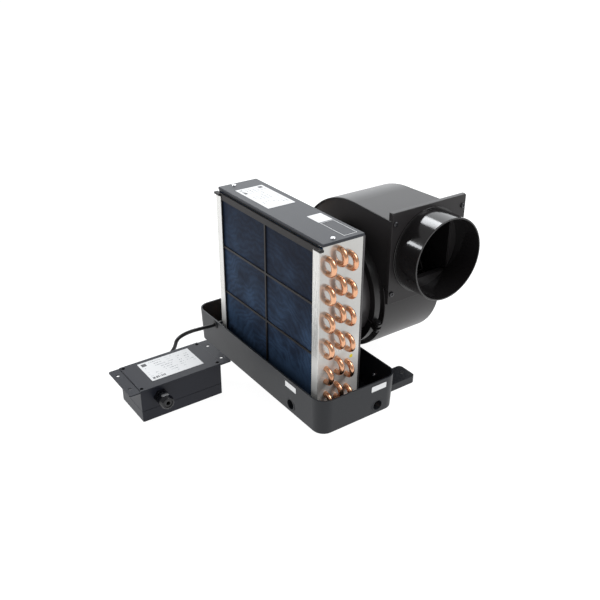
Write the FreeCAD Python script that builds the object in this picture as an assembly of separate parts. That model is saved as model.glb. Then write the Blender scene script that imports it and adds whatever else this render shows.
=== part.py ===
import FreeCAD, Part
import math
import os
from FreeCAD import Vector as V

# A marine air handler: a drip tray that carries a finned coil with its slide-out air filter, a
# centrifugal blower on a swivel ring behind it, and a separate control box on a cable.
# Millimetres. The origin is the middle of the tray's underside. +X runs along the tray towards the
# duct outlet, +Y runs back towards the blower and +Z is up.

# Drip tray
tray_length = 422.0
tray_depth = 170.0
tray_height = 68.5
tray_wall = 3.0
tray_floor = 3.0
tray_corner = 25.0
tray_inset = 2.8
tray_chamfer = 1.5
coil_seat = 10.0
seat_rib = 4.0
seat_boss = 5.0

# Drain bushes and the cable grommet in the tray wall
drain_bore = 9.3
drain_barrel = 12.0
drain_flange = 14.0
drain_height = 17.7
drain_depth = 13.0
front_drain_x = 121.0
right_drain_y = 40.0
grommet_x = -136.0
grommet_z = 59.0
grommet_radius = 6.0
grommet_lip = 8.0

# Coil: three staggered rows of tubes between two end plates
coil_width = 322.0
plate_sheet = 1.2
plate_front = -55.6
plate_rear = 32.6
plate_top = 322.3
front_flange = 17.2
rear_flange = 15.0
top_flange = 12.0
bottom_flange = 15.0
filter_notch = 315.0
tube_pitch = 25.4
row_pitch = 22.0
tubes_high = 12
rows = 3
tube_radius = 4.76
first_row_y = -38.2
lowest_tube = 20.1
row_shift = 12.7
bend_leg = 3.3
return_leg = 1.0
tube_stub = 1.5
tube_play = 0.05

# Refrigerant pipes at the left end
header_radius = 8.0
header_x = -176.0
header_y = 28.0
header_low = 12.0
header_above = 12.7
header_stub_bend = 8.0
suction_radius = 6.35
suction_z = 262.0
suction_bend = 18.0
suction_flats = 24.0
suction_thread = 9.5
liquid_radius = 3.2
liquid_x = -197.0
liquid_z = 236.0
liquid_flats = 15.0
liquid_thread = 5.55
distributor_front = 28.0
distributor_rear = 40.0
distributor_nose = 4.0
capillary_radius = 1.6
capillary_bend = 4.0
union_y = 70.0
union_hex = 8.0
union_thread = 15.0

# Air filter
filter_play = 0.4
filter_front_gap = 0.3
filter_side_play = 0.5
filter_bottom = 12.0
filter_top = 319.2
filter_side_rail = 14.0
filter_bottom_rail = 15.0
filter_top_rail = 11.2
filter_bar = 3.8
filter_ear = 18.0
filter_ear_reach = 164.8
filter_ear_front = -57.2
filter_shelves = 2
mesh_thickness = 0.5
mesh_setback = 0.4

# Top cover
cover_overhang = 1.0
cover_front = -49.0
cover_rear = 33.8
cover_sheet = 1.5
cover_lip = 5.0
cover_gap = 0.1
cover_screw_inset = 11.0
cover_screw_y = -21.8

# Rear shroud and swivel ring
axis_x = 23.0
axis_z = 163.4
shroud_rear = 37.0
neck_radius = 100.0
neck_wall = 2.5
neck_relief = 1.5
neck_ribs = 8
neck_rib_reach = 16.0
neck_rib_height = 18.0
neck_rib_sheet = 3.0
ring_radius = 110.0
ring_thickness = 3.0
neck_end = 92.0
swivel_play = 0.4
clamp_wall = 2.9
clamp_lip = 2.5
clamp_play = 0.3
clamp_angle = -18.0
clamp_gap = 6.0
lug_reach = 14.0
lug_thickness = 5.0

# Blower scroll: radius at +X and its growth per radian, turning down first
scroll_start = 112.6
scroll_growth = 10.49
scroll_end = 276.0
scroll_front = 110.0
scroll_rear = 243.0
scroll_wall = 2.5
scroll_lip = 2.5
scroll_rim_round = 1.2
flare_start = 40.0
flare = 14.0
outlet_x = 138.5
outlet_low = 191.8
outlet_high = 321.4
flange_thickness = 6.0

# Duct plate and collar
duct_y = 197.0
duct_z = 249.5
plate_thickness = 3.0
collar_radius = 76.2
collar_wall = 2.6
collar_length = 54.0
collar_step = 3.8
collar_base_thickness = 2.5
duct_round = 0.8
plate_margin = 10.05
plate_side = 2 * (collar_radius + plate_margin)
plate_screw_inset_y = 7.25
plate_screw_inset_z = 20.25
plate_screw_head = 4.9
plate_screw_head_height = 3.0

# Impeller and motor
wheel_radius = 92.0
wheel_inner = 76.0
wheel_front = 120.0
wheel_rear = 222.0
blade_count = 36
blade_sheet = 1.4
wheel_disc_y = 186.0
wheel_ring = 2.5
blade_slot = 3.0
blade_lead = 8.0
hub_radius = 14.0
hub_flange = 21.0
hub_flange_thickness = 2.0
hub_screw = 2.5
hub_front = 174.0
hub_rear = 199.0
cone_throat = 71.5
cone_wall = 2.0
cone_end = 123.0
shaft_radius = 4.0
shaft_front = 172.0
shaft_rear = 264.0
running_play = 0.05
motor_radius = 44.0
motor_front = 202.0
motor_rear = 262.0
motor_cap = 10.0
motor_lug = 9.0
motor_lug_thickness = 3.0
motor_lug_angle = 105.0
motor_screw_circle = 54.0
bearing_radius = 11.0
bearing_width = 7.0

# Mounting feet behind the tray
foot_x = 151.5
foot_width = 43.0
foot_height = 14.0
foot_reach = 78.0
foot_wall = 3.0
foot_leg = 50.0
foot_hole_inset = 15.0
foot_hole = 3.5
foot_screw_z = 35.0
foot_nut_flats = 8.0
foot_nut = 3.6

# Control box
box_x = -44.0
box_y = -228.0
box_width = 86.5
box_length = 156.0
box_height = 61.0
box_wall = 3.0
box_corner = 2.5
lid_width = 90.0
lid_thickness = 3.0
lid_play = 0.2
ear_length = 20.5
ear_thickness = 2.0
ear_top = 62.5
ear_hole = 3.2
ear_hole_x = 25.0
ear_hole_y = 89.0
lid_screw_x = 38.0
lid_screw_y = 73.5
seam_height = 21.0
seam_width = 0.8
seam_depth = 0.6
boss_radius = 4.5
lid_screw = 1.6
lid_screw_head = 3.2
lid_screw_head_height = 1.2
lid_screw_sink = 2.2
lid_screw_depth = 14.0

# Inside the control box
board_width = 66.0
board_length = 108.0
board_sheet = 1.6
standoff_radius = 3.0
standoff_height = 8.0
standoff_x = 28.0
standoff_y = 48.0
relay_width = 19.0
relay_length = 15.0
relay_height = 16.0
relay_pitch = 20.0
strip_width = 16.0
strip_length = 70.0
strip_height = 14.0
strip_pitch = 10.0
strip_well = 3.0
capacitor_radius = 12.0
capacitor_length = 31.0
gland_reach = 29.0
gland_flats = 24.0
gland_thread = 10.2
gland_bore = 7.2
gland_collar = 6.0
gland_gap = 3.0
gland_grip = 13.0
gland_nut_radius = 12.9
gland_mouth = 10.6
locknut = 4.0
free_gland_y = -270.0
free_gland_z = 41.0
cable_gland_y = -214.0
cable_gland_z = 28.0

# Cable from the control box through the tray wall to the fan socket
cable_radius = 3.7
cable_play = 0.1
socket_x = -150.0
socket_z = 50.0
socket_half = 9.0
plug_half = 7.0
plug_low = 5.0
socket_depth = 8.0
plug_depth = 6.0

# Fasteners
m4 = 2.0
m4_head = 3.8
m4_head_height = 2.3
m5 = 2.4
m5_head = 4.5
thread_fit = 0.02
screw_play = 0.15

nodes = {}

half_width = coil_width / 2
fin_bottom = lowest_tube - tube_pitch / 4
fin_top = fin_bottom + tubes_high * tube_pitch
fin_front = first_row_y - row_pitch / 2
fin_rear = fin_front + rows * row_pitch
plate_height = plate_top - coil_seat


def keep(name, *solids):
    nodes[name] = list(solids)


def box(x0, x1, y0, y1, z0, z1):
    return Part.makeBox(x1 - x0, y1 - y0, z1 - z0, V(x0, y0, z0))


def rod(radius, start, end):
    run = end - start
    return Part.makeCylinder(radius, run.Length, start, run)


def solid_of(shape):
    return shape.removeSplitter().Solids[0]


def ring(outer, inner, start, end):
    return solid_of(rod(outer, start, end).cut(rod(inner, start, end)))


def mirrored(shape):
    return shape.mirror(V(0, 0, 0), V(1, 0, 0))


def hexagon(flats, start, end):
    # A hexagonal bar between two points, with two flats facing up and down
    corner = flats / math.sqrt(3)
    run = end - start
    along = V(run).normalize()
    across = V(0, 0, 1).cross(along).normalize()
    up = along.cross(across)
    corners = []
    for k in range(6):
        turn = math.radians(60 * k)
        corners.append(start + across * (corner * math.cos(turn)) + up * (corner * math.sin(turn)))
    return Part.Face(Part.makePolygon(corners + corners[:1])).extrude(run)


def round_rectangle(length, depth, radius, z):
    x = length / 2 - radius
    y = depth / 2 - radius
    diagonal = radius * math.sqrt(0.5)
    edges = []
    corners = [(x, y, 1, 1), (-x, y, -1, 1), (-x, -y, -1, -1), (x, -y, 1, -1)]
    for k in range(4):
        cx, cy, sx, sy = corners[k]
        along_x = V(cx + sx * radius, cy, z)
        along_y = V(cx, cy + sy * radius, z)
        middle = V(cx + sx * diagonal, cy + sy * diagonal, z)
        first = along_x if sx == sy else along_y
        last = along_y if sx == sy else along_x
        edges.append(Part.Arc(first, middle, last).toShape())
        nx, ny, tx, ty = corners[(k + 1) % 4]
        following = V(nx, ny + ty * radius, z) if tx != ty else V(nx + tx * radius, ny, z)
        edges.append(Part.LineSegment(last, following).toShape())
    return Part.Wire(edges)


def pipe(points, radius, bend=None):
    # Straight runs joined by tangent arcs. With no bend given each arc is as large as its runs allow.
    solids = []
    radii = []
    start = points[0]
    for before, corner, after in zip(points, points[1:], points[2:]):
        into = corner - before
        out = after - corner
        half = into.getAngle(out) / 2
        arc = bend if bend else 0.45 * min(into.Length, out.Length) / math.tan(half)
        radii.append(arc)
        into = V(into).normalize()
        out = V(out).normalize()
        reach = arc * math.tan(half)
        enter = corner - into * reach
        axis = into.cross(out).normalize()
        centre = enter + axis.cross(into) * arc
        solids.append(rod(radius, start, enter))
        section = Part.Face(Part.Wire(Part.makeCircle(radius, enter, into)))
        solids.append(section.revolve(centre, axis, math.degrees(2 * half)))
        start = corner + out * reach
    solids.append(rod(radius, start, points[-1]))
    return solid_of(solids[0].fuse(solids[1:])), radii


def half_turn(start, heading, towards, radius):
    # Half a torus that leaves start along heading and comes back at start + towards
    centre = start + towards * 0.5
    axis = heading.cross(towards).normalize()
    section = Part.Face(Part.Wire(Part.makeCircle(radius, start, heading)))
    return section.revolve(centre, axis, 180)


def wall_inset(z):
    # How far the tray's outer wall stands inside the rim at this height
    return tray_inset * (1 - z / tray_height)


def tray_wire(inset, z):
    return round_rectangle(tray_length - 2 * inset, tray_depth - 2 * inset, tray_corner - inset, z)


def tray_shell():
    over = 5.0
    outer = Part.makeLoft([tray_wire(tray_inset + tray_chamfer, 0),
                           tray_wire(wall_inset(tray_chamfer), tray_chamfer),
                           tray_wire(0, tray_height)], True, True)
    inner = Part.makeLoft([tray_wire(wall_inset(tray_floor) + tray_wall, tray_floor),
                           tray_wire(wall_inset(tray_height + over) + tray_wall, tray_height + over)],
                          True, True)
    return outer.cut(inner)


def seat_screw_places():
    places = []
    for side in (-1, 1):
        for y in (first_row_y + 3, fin_rear - 5):
            places.append((side * (half_width - bottom_flange * 0.6), y))
    return places


def drip_tray():
    tray = tray_shell()
    for side in (-1, 1):
        middle = side * (half_width - bottom_flange * 0.6)
        tray = tray.fuse(box(middle - seat_rib / 2, middle + seat_rib / 2, plate_front, plate_rear,
                             tray_floor - 1, coil_seat))
    for x, y in seat_screw_places():
        tray = tray.fuse(rod(seat_boss, V(x, y, tray_floor - 1), V(x, y, coil_seat)))
    for x, y in seat_screw_places():
        tray = tray.cut(rod(m4, V(x, y, tray_floor + 0.5), V(x, y, coil_seat + 1)))
    reach = tray_wall * 3
    front = -tray_depth / 2
    tray = tray.cut(rod(drain_barrel + 0.1, V(front_drain_x, front - reach, drain_height),
                        V(front_drain_x, front + reach, drain_height)))
    right = tray_length / 2
    tray = tray.cut(rod(drain_barrel + 0.1, V(right - reach, right_drain_y, drain_height),
                        V(right + reach, right_drain_y, drain_height)))
    tray = tray.cut(rod(grommet_radius + 0.1, V(grommet_x, front - reach, grommet_z),
                        V(grommet_x, front + reach, grommet_z)))
    for side in (-1, 1):
        tray = tray.cut(rod(m5 + screw_play, V(side * foot_x, -front - reach, foot_screw_z),
                            V(side * foot_x, -front + reach, foot_screw_z)))
    tray = tray.cut(rod(neck_radius + neck_relief, V(axis_x, -front - reach, axis_z),
                        V(axis_x, -front + reach, axis_z)))
    tray = solid_of(tray)
    keep("drip_tray", tray)
    return tray


def drain_bush(tray, mouth, inward):
    # A threaded bush glued in from inside the tray, its flange against the wall
    inner = mouth + inward * drain_depth
    seat = mouth + inward * (tray_wall * 0.6)
    bush = rod(drain_barrel, mouth, inner).fuse(rod(drain_flange, seat, seat + inward * 4.5))
    bush = bush.cut(rod(drain_bore, mouth - inward, inner + inward))
    return solid_of(bush.cut(tray))


def tray_fittings(tray):
    front = -(tray_depth / 2 - wall_inset(drain_height)) - 0.5
    right = tray_length / 2 - wall_inset(drain_height) + 0.5
    keep("drain_bushes", drain_bush(tray, V(front_drain_x, front, drain_height), V(0, 1, 0)),
         drain_bush(tray, V(right, right_drain_y, drain_height), V(-1, 0, 0)))
    wall = -(tray_depth / 2 - wall_inset(grommet_z))
    barrel = rod(grommet_radius, V(grommet_x, wall - 1.7, grommet_z),
                 V(grommet_x, wall + tray_wall + 1.7, grommet_z))
    lips = rod(grommet_lip, V(grommet_x, wall - 1.7, grommet_z), V(grommet_x, wall + 1, grommet_z))
    back = rod(grommet_lip, V(grommet_x, wall + tray_wall - 1, grommet_z),
               V(grommet_x, wall + tray_wall + 1.7, grommet_z))
    bore = rod(cable_radius + cable_play, V(grommet_x, wall - 9, grommet_z),
               V(grommet_x, wall + 9, grommet_z))
    keep("cable_grommet", solid_of(barrel.fuse([lips, back]).cut(tray).cut(bore)))


def mounting_feet():
    feet = []
    screws = []
    nuts = []
    wall_low = tray_depth / 2 - wall_inset(0)
    wall_high = tray_depth / 2 - wall_inset(foot_leg)
    outer = tray_depth / 2 - wall_inset(foot_screw_z)
    left = foot_x - foot_width / 2
    right = foot_x + foot_width / 2
    profile = [V(left, wall_low, 0), V(left, wall_high, foot_leg),
               V(left, wall_high + foot_wall, foot_leg), V(left, wall_low + foot_wall, 0)]
    leg = Part.Face(Part.makePolygon(profile + profile[:1])).extrude(V(foot_width, 0, 0))
    toe = tray_depth / 2 + foot_reach
    hole_y = toe - foot_hole_inset
    channel = box(left, right, wall_low + 1, toe, 0, foot_height)
    corners = [e for e in channel.Edges if abs(e.Vertexes[0].Y - toe) < 0.01
               and abs(e.Vertexes[1].Y - toe) < 0.01
               and abs(e.Vertexes[0].Z - e.Vertexes[1].Z) > 1]
    channel = channel.makeFillet(8.0, corners)
    hollow = box(left + foot_wall, right - foot_wall, wall_low + foot_wall + 1, toe - 8,
                 -1, foot_height - foot_wall)
    foot = leg.fuse(channel).cut(hollow)
    foot = foot.cut(rod(foot_hole, V(foot_x, hole_y, -1), V(foot_x, hole_y, foot_height + 1)))
    foot = foot.cut(rod(m5 + screw_play, V(foot_x, wall_low - 1, foot_screw_z),
                        V(foot_x, wall_high + 9, foot_screw_z)))
    foot = solid_of(foot)
    head_seat = outer - tray_wall - 0.2
    screw = rod(m5_head, V(foot_x, head_seat - 2.6, foot_screw_z), V(foot_x, head_seat, foot_screw_z))
    screw = screw.fuse(rod(m5, V(foot_x, head_seat - 1, foot_screw_z), V(foot_x, outer + 8.5, foot_screw_z)))
    nut_seat = outer + foot_wall + 0.25
    nut = hexagon(foot_nut_flats, V(foot_x, nut_seat, foot_screw_z),
                  V(foot_x, nut_seat + foot_nut, foot_screw_z))
    nut = solid_of(nut.cut(rod(m5 + thread_fit, V(foot_x, nut_seat - 1, foot_screw_z),
                               V(foot_x, nut_seat + 9, foot_screw_z))))
    for shape, group in ((foot, feet), (solid_of(screw), screws), (nut, nuts)):
        group.append(shape)
        group.append(mirrored(shape))
    keep("mounting_feet", *feet)
    keep("foot_screws", *screws)
    keep("foot_nuts", *nuts)


def row_y(row):
    return first_row_y + row * row_pitch


def tube_z(row, level):
    # Height of a tube, counted from the lowest; the middle row stands half a pitch higher
    return lowest_tube + level * tube_pitch + (row_shift if row % 2 else 0)


def tube_holes(x0, x1, radius):
    holes = []
    for row in range(rows):
        for level in range(tubes_high):
            y = row_y(row)
            z = tube_z(row, level)
            holes.append(rod(radius, V(x0, y, z), V(x1, y, z)))
    return Part.makeCompound(holes)


def end_plates():
    inner = half_width - plate_sheet
    web = box(inner, half_width, plate_front, plate_rear, coil_seat, plate_top)
    front = box(half_width - front_flange, half_width, plate_front, plate_front + plate_sheet,
                coil_seat, filter_notch)
    rear = box(half_width - rear_flange, half_width, plate_rear - plate_sheet, plate_rear,
               coil_seat, plate_top)
    top = box(half_width - top_flange, half_width, cover_front + 0.5, plate_rear,
              plate_top - plate_sheet, plate_top)
    bottom = box(half_width - bottom_flange, half_width, plate_front, plate_rear,
                 coil_seat, coil_seat + plate_sheet)
    plate = web.fuse([front, rear, top, bottom])
    plate = plate.cut(box(half_width - 30, half_width + 1, plate_front - 1, cover_front + 0.5,
                          filter_notch, plate_top + 1))
    plate = plate.removeSplitter()
    edges = [e for e in plate.Edges if abs(e.Vertexes[0].X - half_width) < 0.01
             and abs(e.Vertexes[0].Y - e.Vertexes[-1].Y) < 0.01 and e.Length > 200
             and abs(e.Vertexes[0].X - e.Vertexes[-1].X) < 0.01]
    plate = plate.makeFillet(plate_sheet * 0.9, edges)
    plate = plate.cut(tube_holes(inner - 1, half_width + 1, tube_radius + tube_play))
    for x, y in seat_screw_places():
        plate = plate.cut(rod(m4 + screw_play, V(x, y, coil_seat - 1), V(x, y, coil_seat + 3)))
    screw_x = half_width + cover_overhang - cover_screw_inset
    plate = plate.cut(rod(m4 + thread_fit, V(screw_x, cover_screw_y, plate_top - 3),
                          V(screw_x, cover_screw_y, plate_top + 1)))
    for z in shroud_screw_heights():
        plate = plate.cut(rod(m4 + thread_fit, V(shroud_screw_x(), plate_rear - 4, z),
                              V(shroud_screw_x(), plate_rear + 1, z)))
    plate = solid_of(plate)
    keep("end_plate_right", plate)
    keep("end_plate_left", mirrored(plate))


def coil_screws():
    screws = []
    for x, y in seat_screw_places():
        seat = coil_seat + plate_sheet
        head = rod(m4_head, V(x, y, seat), V(x, y, seat + m4_head_height))
        shank = rod(m4 - thread_fit, V(x, y, tray_floor + 1), V(x, y, seat + 1))
        screws.append(solid_of(head.fuse(shank)))
    keep("coil_screws", *screws)


def coil():
    inner = half_width - plate_sheet
    block = box(-inner, inner, fin_front, fin_rear, fin_bottom, fin_top)
    block = block.cut(tube_holes(-inner - 1, inner + 1, tube_radius + tube_play))
    keep("fin_pack", solid_of(block))
    left = -half_width - tube_stub
    right = half_width + bend_leg
    for row, name in enumerate(("hairpins_front_row", "hairpins_middle_row", "hairpins_rear_row")):
        hairpins = []
        for level in range(0, tubes_high, 2):
            y = row_y(row)
            low = tube_z(row, level)
            high = tube_z(row, level + 1)
            legs = [rod(tube_radius, V(left, y, z), V(right, y, z)) for z in (low, high)]
            turn = half_turn(V(right, y, high), V(1, 0, 0), V(0, 0, low - high), tube_radius)
            hairpins.append(solid_of(turn.fuse(legs)))
        keep(name, *hairpins)


def return_bends():
    # Each circuit takes two hairpins of every row and starts and ends in the rear row
    rear = rows - 1
    middle = rear - 1
    front = middle - 1
    links = []
    for level in range(0, tubes_high, 4):
        links.append((rear, level + 2, middle, level + 2))
        links.append((middle, level + 3, front, level + 3))
        links.append((front, level + 2, front, level + 1))
        links.append((front, level, middle, level))
        links.append((middle, level + 1, rear, level + 1))
    bends = []
    left = -half_width - tube_stub
    for row_a, level_a, row_b, level_b in links:
        a = V(left, row_y(row_a), tube_z(row_a, level_a))
        b = V(left, row_y(row_b), tube_z(row_b, level_b))
        leg = V(-return_leg, 0, 0)
        turn = half_turn(a + leg, V(-1, 0, 0), b - a, tube_radius)
        bends.append(solid_of(turn.fuse([rod(tube_radius, a, a + leg), rod(tube_radius, b, b + leg)])))
    keep("return_bends", *bends)


def refrigerant_pipes():
    rear = rows - 1
    y = row_y(rear)
    left = -half_width - tube_stub
    outlets = [tube_z(rear, level) for level in range(0, tubes_high, 4)]
    header_top = outlets[-1] + header_above
    header = rod(header_radius, V(header_x, header_y, header_low), V(header_x, header_y, header_top))
    for z in outlets:
        route = [V(left, y, z), V(header_x, y, z), V(header_x, header_y, z)]
        header = header.fuse(pipe(route, tube_radius, header_stub_bend)[0])
    keep("suction_header", solid_of(header))
    route = [V(header_x, header_y, header_top), V(header_x, header_y, suction_z),
             V(header_x, union_y, suction_z)]
    keep("suction_line", pipe(route, suction_radius, suction_bend)[0])
    suction_end = flare_union(route[-1], suction_radius, suction_flats, suction_thread)
    front = V(liquid_x, distributor_front, liquid_z)
    body = rod(header_radius, front, V(liquid_x, distributor_rear, liquid_z))
    nose = Part.makeCone(header_radius, header_radius * 0.8, distributor_nose, front, V(0, -1, 0))
    keep("distributor", solid_of(body.fuse(nose)))
    line_end = V(liquid_x, union_y, liquid_z)
    keep("liquid_line", rod(liquid_radius, V(liquid_x, distributor_rear, liquid_z), line_end))
    liquid_end = flare_union(line_end, liquid_radius, liquid_flats, liquid_thread)
    keep("flare_nuts", suction_end[0], liquid_end[0])
    keep("flare_unions", suction_end[1], liquid_end[1])
    capillaries(left, y, front - V(0, distributor_nose, 0))


def capillaries(left, y, nose):
    # One thin tube from the distributor's nose to the inlet of each circuit
    rear = rows - 1
    side = capillary_radius * 2 + 0.3
    top = nose + V(0, 0, side + 0.5)
    outer = nose + V(-side, 0, -side * 0.7)
    inner = nose + V(side, 0, -side * 0.7)
    upper, middle, lower = [tube_z(rear, level) for level in (11, 7, 3)]
    near = left - 16.5
    drop = 14.0
    routes = [
        [top, top - V(0, 11, 0), V(near, y, upper), V(left, y, upper)],
        [outer, outer - V(0, 12, 0), V(outer.x, outer.y - 14, middle + drop), V(near - 3, y, middle),
         V(left, y, middle)],
        [inner, inner - V(0, 7, 0), V(inner.x - 2, inner.y - 8, lower + drop), V(near + 1, y, lower),
         V(left, y, lower)],
    ]
    keep("capillary_tubes", *[pipe(route, capillary_radius, capillary_bend)[0] for route in routes])


def flare_union(start, pipe_radius, flats, thread_radius):
    # A flare nut on the pipe's end and the union that it tightens on
    nut_end = start + V(0, flats * 0.75, 0)
    nut = hexagon(flats, start, nut_end)
    hex_end = nut_end + V(0, union_hex, 0)
    mouth = hex_end + V(0, union_thread, 0)
    union = hexagon(flats, nut_end, hex_end)
    union = union.fuse(rod(thread_radius, nut_end, mouth))
    union = union.cut(rod(pipe_radius * 0.75, nut_end + V(0, 2, 0), mouth + V(0, 1, 0)))
    return nut, solid_of(union)


def filter_pieces():
    front = plate_front + plate_sheet + filter_play
    back = fin_front - filter_play
    side = half_width - plate_sheet - filter_side_play
    frame = box(-side, side, front, back, filter_bottom, filter_top)
    inner = side - filter_side_rail
    low = filter_bottom + filter_bottom_rail
    high = filter_top - filter_top_rail
    frame = frame.cut(box(-inner, inner, front - 1, back + 1, low, high))
    middle = (front + back) / 2
    rib = (back - front) / 2 - 0.6
    frame = frame.fuse(box(-filter_bar / 2, filter_bar / 2, middle - rib, middle + rib, low, high))
    cell = (high - low - filter_shelves * filter_bar) / (filter_shelves + 1)
    for k in range(1, filter_shelves + 1):
        z = low + k * cell + (k - 1) * filter_bar
        frame = frame.fuse(box(-inner, inner, middle - rib, middle + rib, z, z + filter_bar))
    for sign in (-1, 1):
        x0, x1 = sorted((sign * (filter_ear_reach - filter_ear), sign * filter_ear_reach))
        frame = frame.fuse(box(x0, x1, filter_ear_front, back, filter_notch + 0.2, filter_top))
    keep("filter_frame", solid_of(frame))
    panes = []
    net = middle + rib - mesh_setback
    for k in range(filter_shelves + 1):
        z = low + k * (cell + filter_bar)
        for x0, x1 in ((-inner, -filter_bar / 2), (filter_bar / 2, inner)):
            panes.append(box(x0, x1, net - mesh_thickness, net, z, z + cell))
    keep("filter_mesh", *panes)


def top_cover():
    side = half_width + cover_overhang
    low = plate_top + cover_gap
    high = low + cover_lip
    cover = box(-side, side, cover_front, cover_rear, low, high)
    cover = cover.cut(box(-side + cover_sheet, side - cover_sheet, cover_front + cover_sheet,
                          cover_rear - cover_sheet, low - 1, high - cover_sheet))
    top_edges = [e for e in cover.Edges if abs(e.Vertexes[0].Z - high) < 0.01
                 and abs(e.Vertexes[-1].Z - high) < 0.01]
    cover = cover.makeFillet(cover_sheet * 0.5, top_edges)
    screws = []
    for sign in (-1, 1):
        x = sign * (side - cover_screw_inset)
        cover = cover.cut(rod(m4 + screw_play, V(x, cover_screw_y, low), V(x, cover_screw_y, high + 1)))
        head = Part.makeSphere(6.0, V(x, cover_screw_y, high + 2.2 - 6.0))
        head = head.common(rod(4.4, V(x, cover_screw_y, high), V(x, cover_screw_y, high + 5)))
        shank = rod(m4, V(x, cover_screw_y, fin_top + 0.8), V(x, cover_screw_y, high + 1))
        screws.append(solid_of(head.fuse(shank)))
    keep("top_cover", solid_of(cover))
    keep("cover_screws", *screws)
    seal_side = half_width - top_flange - 0.5
    keep("top_seal", box(-seal_side, seal_side, cover_front + cover_sheet + 0.3, fin_rear,
                         fin_top, high - cover_sheet))


def shroud_screw_x():
    return half_width - rear_flange * 0.5


def shroud_screw_heights():
    span = plate_height / 2 - 25
    middle = coil_seat + plate_height / 2
    return [middle - span, middle, middle + span]


def rear_shroud():
    panel = box(-half_width, half_width, plate_rear, shroud_rear, coil_seat, plate_top)
    uprights = [e for e in panel.Edges if abs(e.Vertexes[0].Y - shroud_rear) < 0.01
                and abs(e.Vertexes[-1].Y - shroud_rear) < 0.01]
    panel = panel.makeFillet(1.5, uprights)
    start = V(axis_x, plate_rear + 1, axis_z)
    end = V(axis_x, neck_end, axis_z)
    shroud = panel.fuse(rod(neck_radius, start, end))
    shroud = shroud.fuse(rod(ring_radius, end - V(0, ring_thickness, 0), end))
    foot = shroud_rear - 0.5
    sloped = [V(neck_radius - 1, foot, -neck_rib_sheet / 2),
              V(neck_radius + neck_rib_reach, foot, -neck_rib_sheet / 2),
              V(neck_radius - 1, shroud_rear + neck_rib_height, -neck_rib_sheet / 2)]
    gusset = Part.Face(Part.makePolygon(sloped + sloped[:1])).extrude(V(0, 0, neck_rib_sheet))
    for k in range(neck_ribs):
        rib = gusset.copy()
        rib.rotate(V(0, 0, 0), V(0, 1, 0), 360.0 * (k + 0.5) / neck_ribs)
        rib.translate(V(axis_x, 0, axis_z))
        shroud = shroud.fuse(rib)
    shroud = shroud.cut(rod(neck_radius - neck_wall, start - V(0, 5, 0), end + V(0, 5, 0)))
    screws = []
    for sign in (-1, 1):
        for z in shroud_screw_heights():
            x = sign * shroud_screw_x()
            shroud = shroud.cut(rod(m4 + screw_play, V(x, plate_rear - 1, z), V(x, shroud_rear + 1, z)))
            head = rod(m4_head, V(x, shroud_rear, z), V(x, shroud_rear + m4_head_height, z))
            shank = rod(m4, V(x, plate_rear - 3, z), V(x, shroud_rear + 1, z))
            screws.append(solid_of(head.fuse(shank)))
    keep("rear_shroud", solid_of(shroud))
    keep("shroud_screws", *screws)


def on_axis(y):
    return V(axis_x, y, axis_z)


def swivel_clamp():
    # A split channel ring that holds the neck's flange and the blower's flange together
    groove_front = neck_end - ring_thickness - clamp_play
    groove_rear = neck_end + swivel_play + ring_thickness + clamp_play
    front = groove_front - clamp_lip
    rear = groove_rear + clamp_lip
    groove = ring_radius + 2 * clamp_play
    outer = groove + clamp_wall
    band = rod(outer, on_axis(front), on_axis(rear))
    lug = box(outer - 2, outer + lug_reach, front, rear, -clamp_gap / 2 - lug_thickness,
              clamp_gap / 2 + lug_thickness)
    lug_corners = [e for e in lug.Edges if abs(e.Vertexes[0].X - outer - lug_reach) < 0.01
                   and abs(e.Vertexes[-1].X - outer - lug_reach) < 0.01
                   and abs(e.Vertexes[0].Z - e.Vertexes[-1].Z) > 1]
    lug = lug.makeFillet(4.0, lug_corners)
    slit = box(neck_radius, outer + lug_reach + 1, front - 1, rear + 1, -clamp_gap / 2, clamp_gap / 2)
    bolt_x = outer + lug_reach * 0.55
    middle = (front + rear) / 2
    reach = clamp_gap / 2 + lug_thickness
    hole = rod(m5 + screw_play, V(bolt_x, middle, -reach - 1), V(bolt_x, middle, reach + 1))
    screw = rod(m5_head, V(bolt_x, middle, reach), V(bolt_x, middle, reach + 3.5))
    screw = screw.fuse(rod(m5, V(bolt_x, middle, -reach - 6), V(bolt_x, middle, reach + 1)))
    nut = rod(m5_head, V(bolt_x, middle, -reach - 4), V(bolt_x, middle, -reach))
    thread = rod(m5 + thread_fit, V(bolt_x, middle, -reach - 5), V(bolt_x, middle, -reach + 1))
    nut = solid_of(nut.cut(thread))
    placed = []
    for shape in (lug, slit, hole, solid_of(screw), nut):
        shape.rotate(V(0, 0, 0), V(0, 1, 0), -clamp_angle)
        shape.translate(V(axis_x, 0, axis_z))
        placed.append(shape)
    lug, slit, hole, screw, nut = placed
    band = band.fuse(lug)
    band = band.cut(rod(groove, on_axis(groove_front), on_axis(groove_rear)))
    band = band.cut(rod(neck_radius + 2 * clamp_play, on_axis(front - 1), on_axis(rear + 1)))
    band = band.cut(slit).cut(hole)
    keep("swivel_clamp", solid_of(band))
    keep("clamp_screw", screw)
    keep("clamp_nut", nut)


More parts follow.
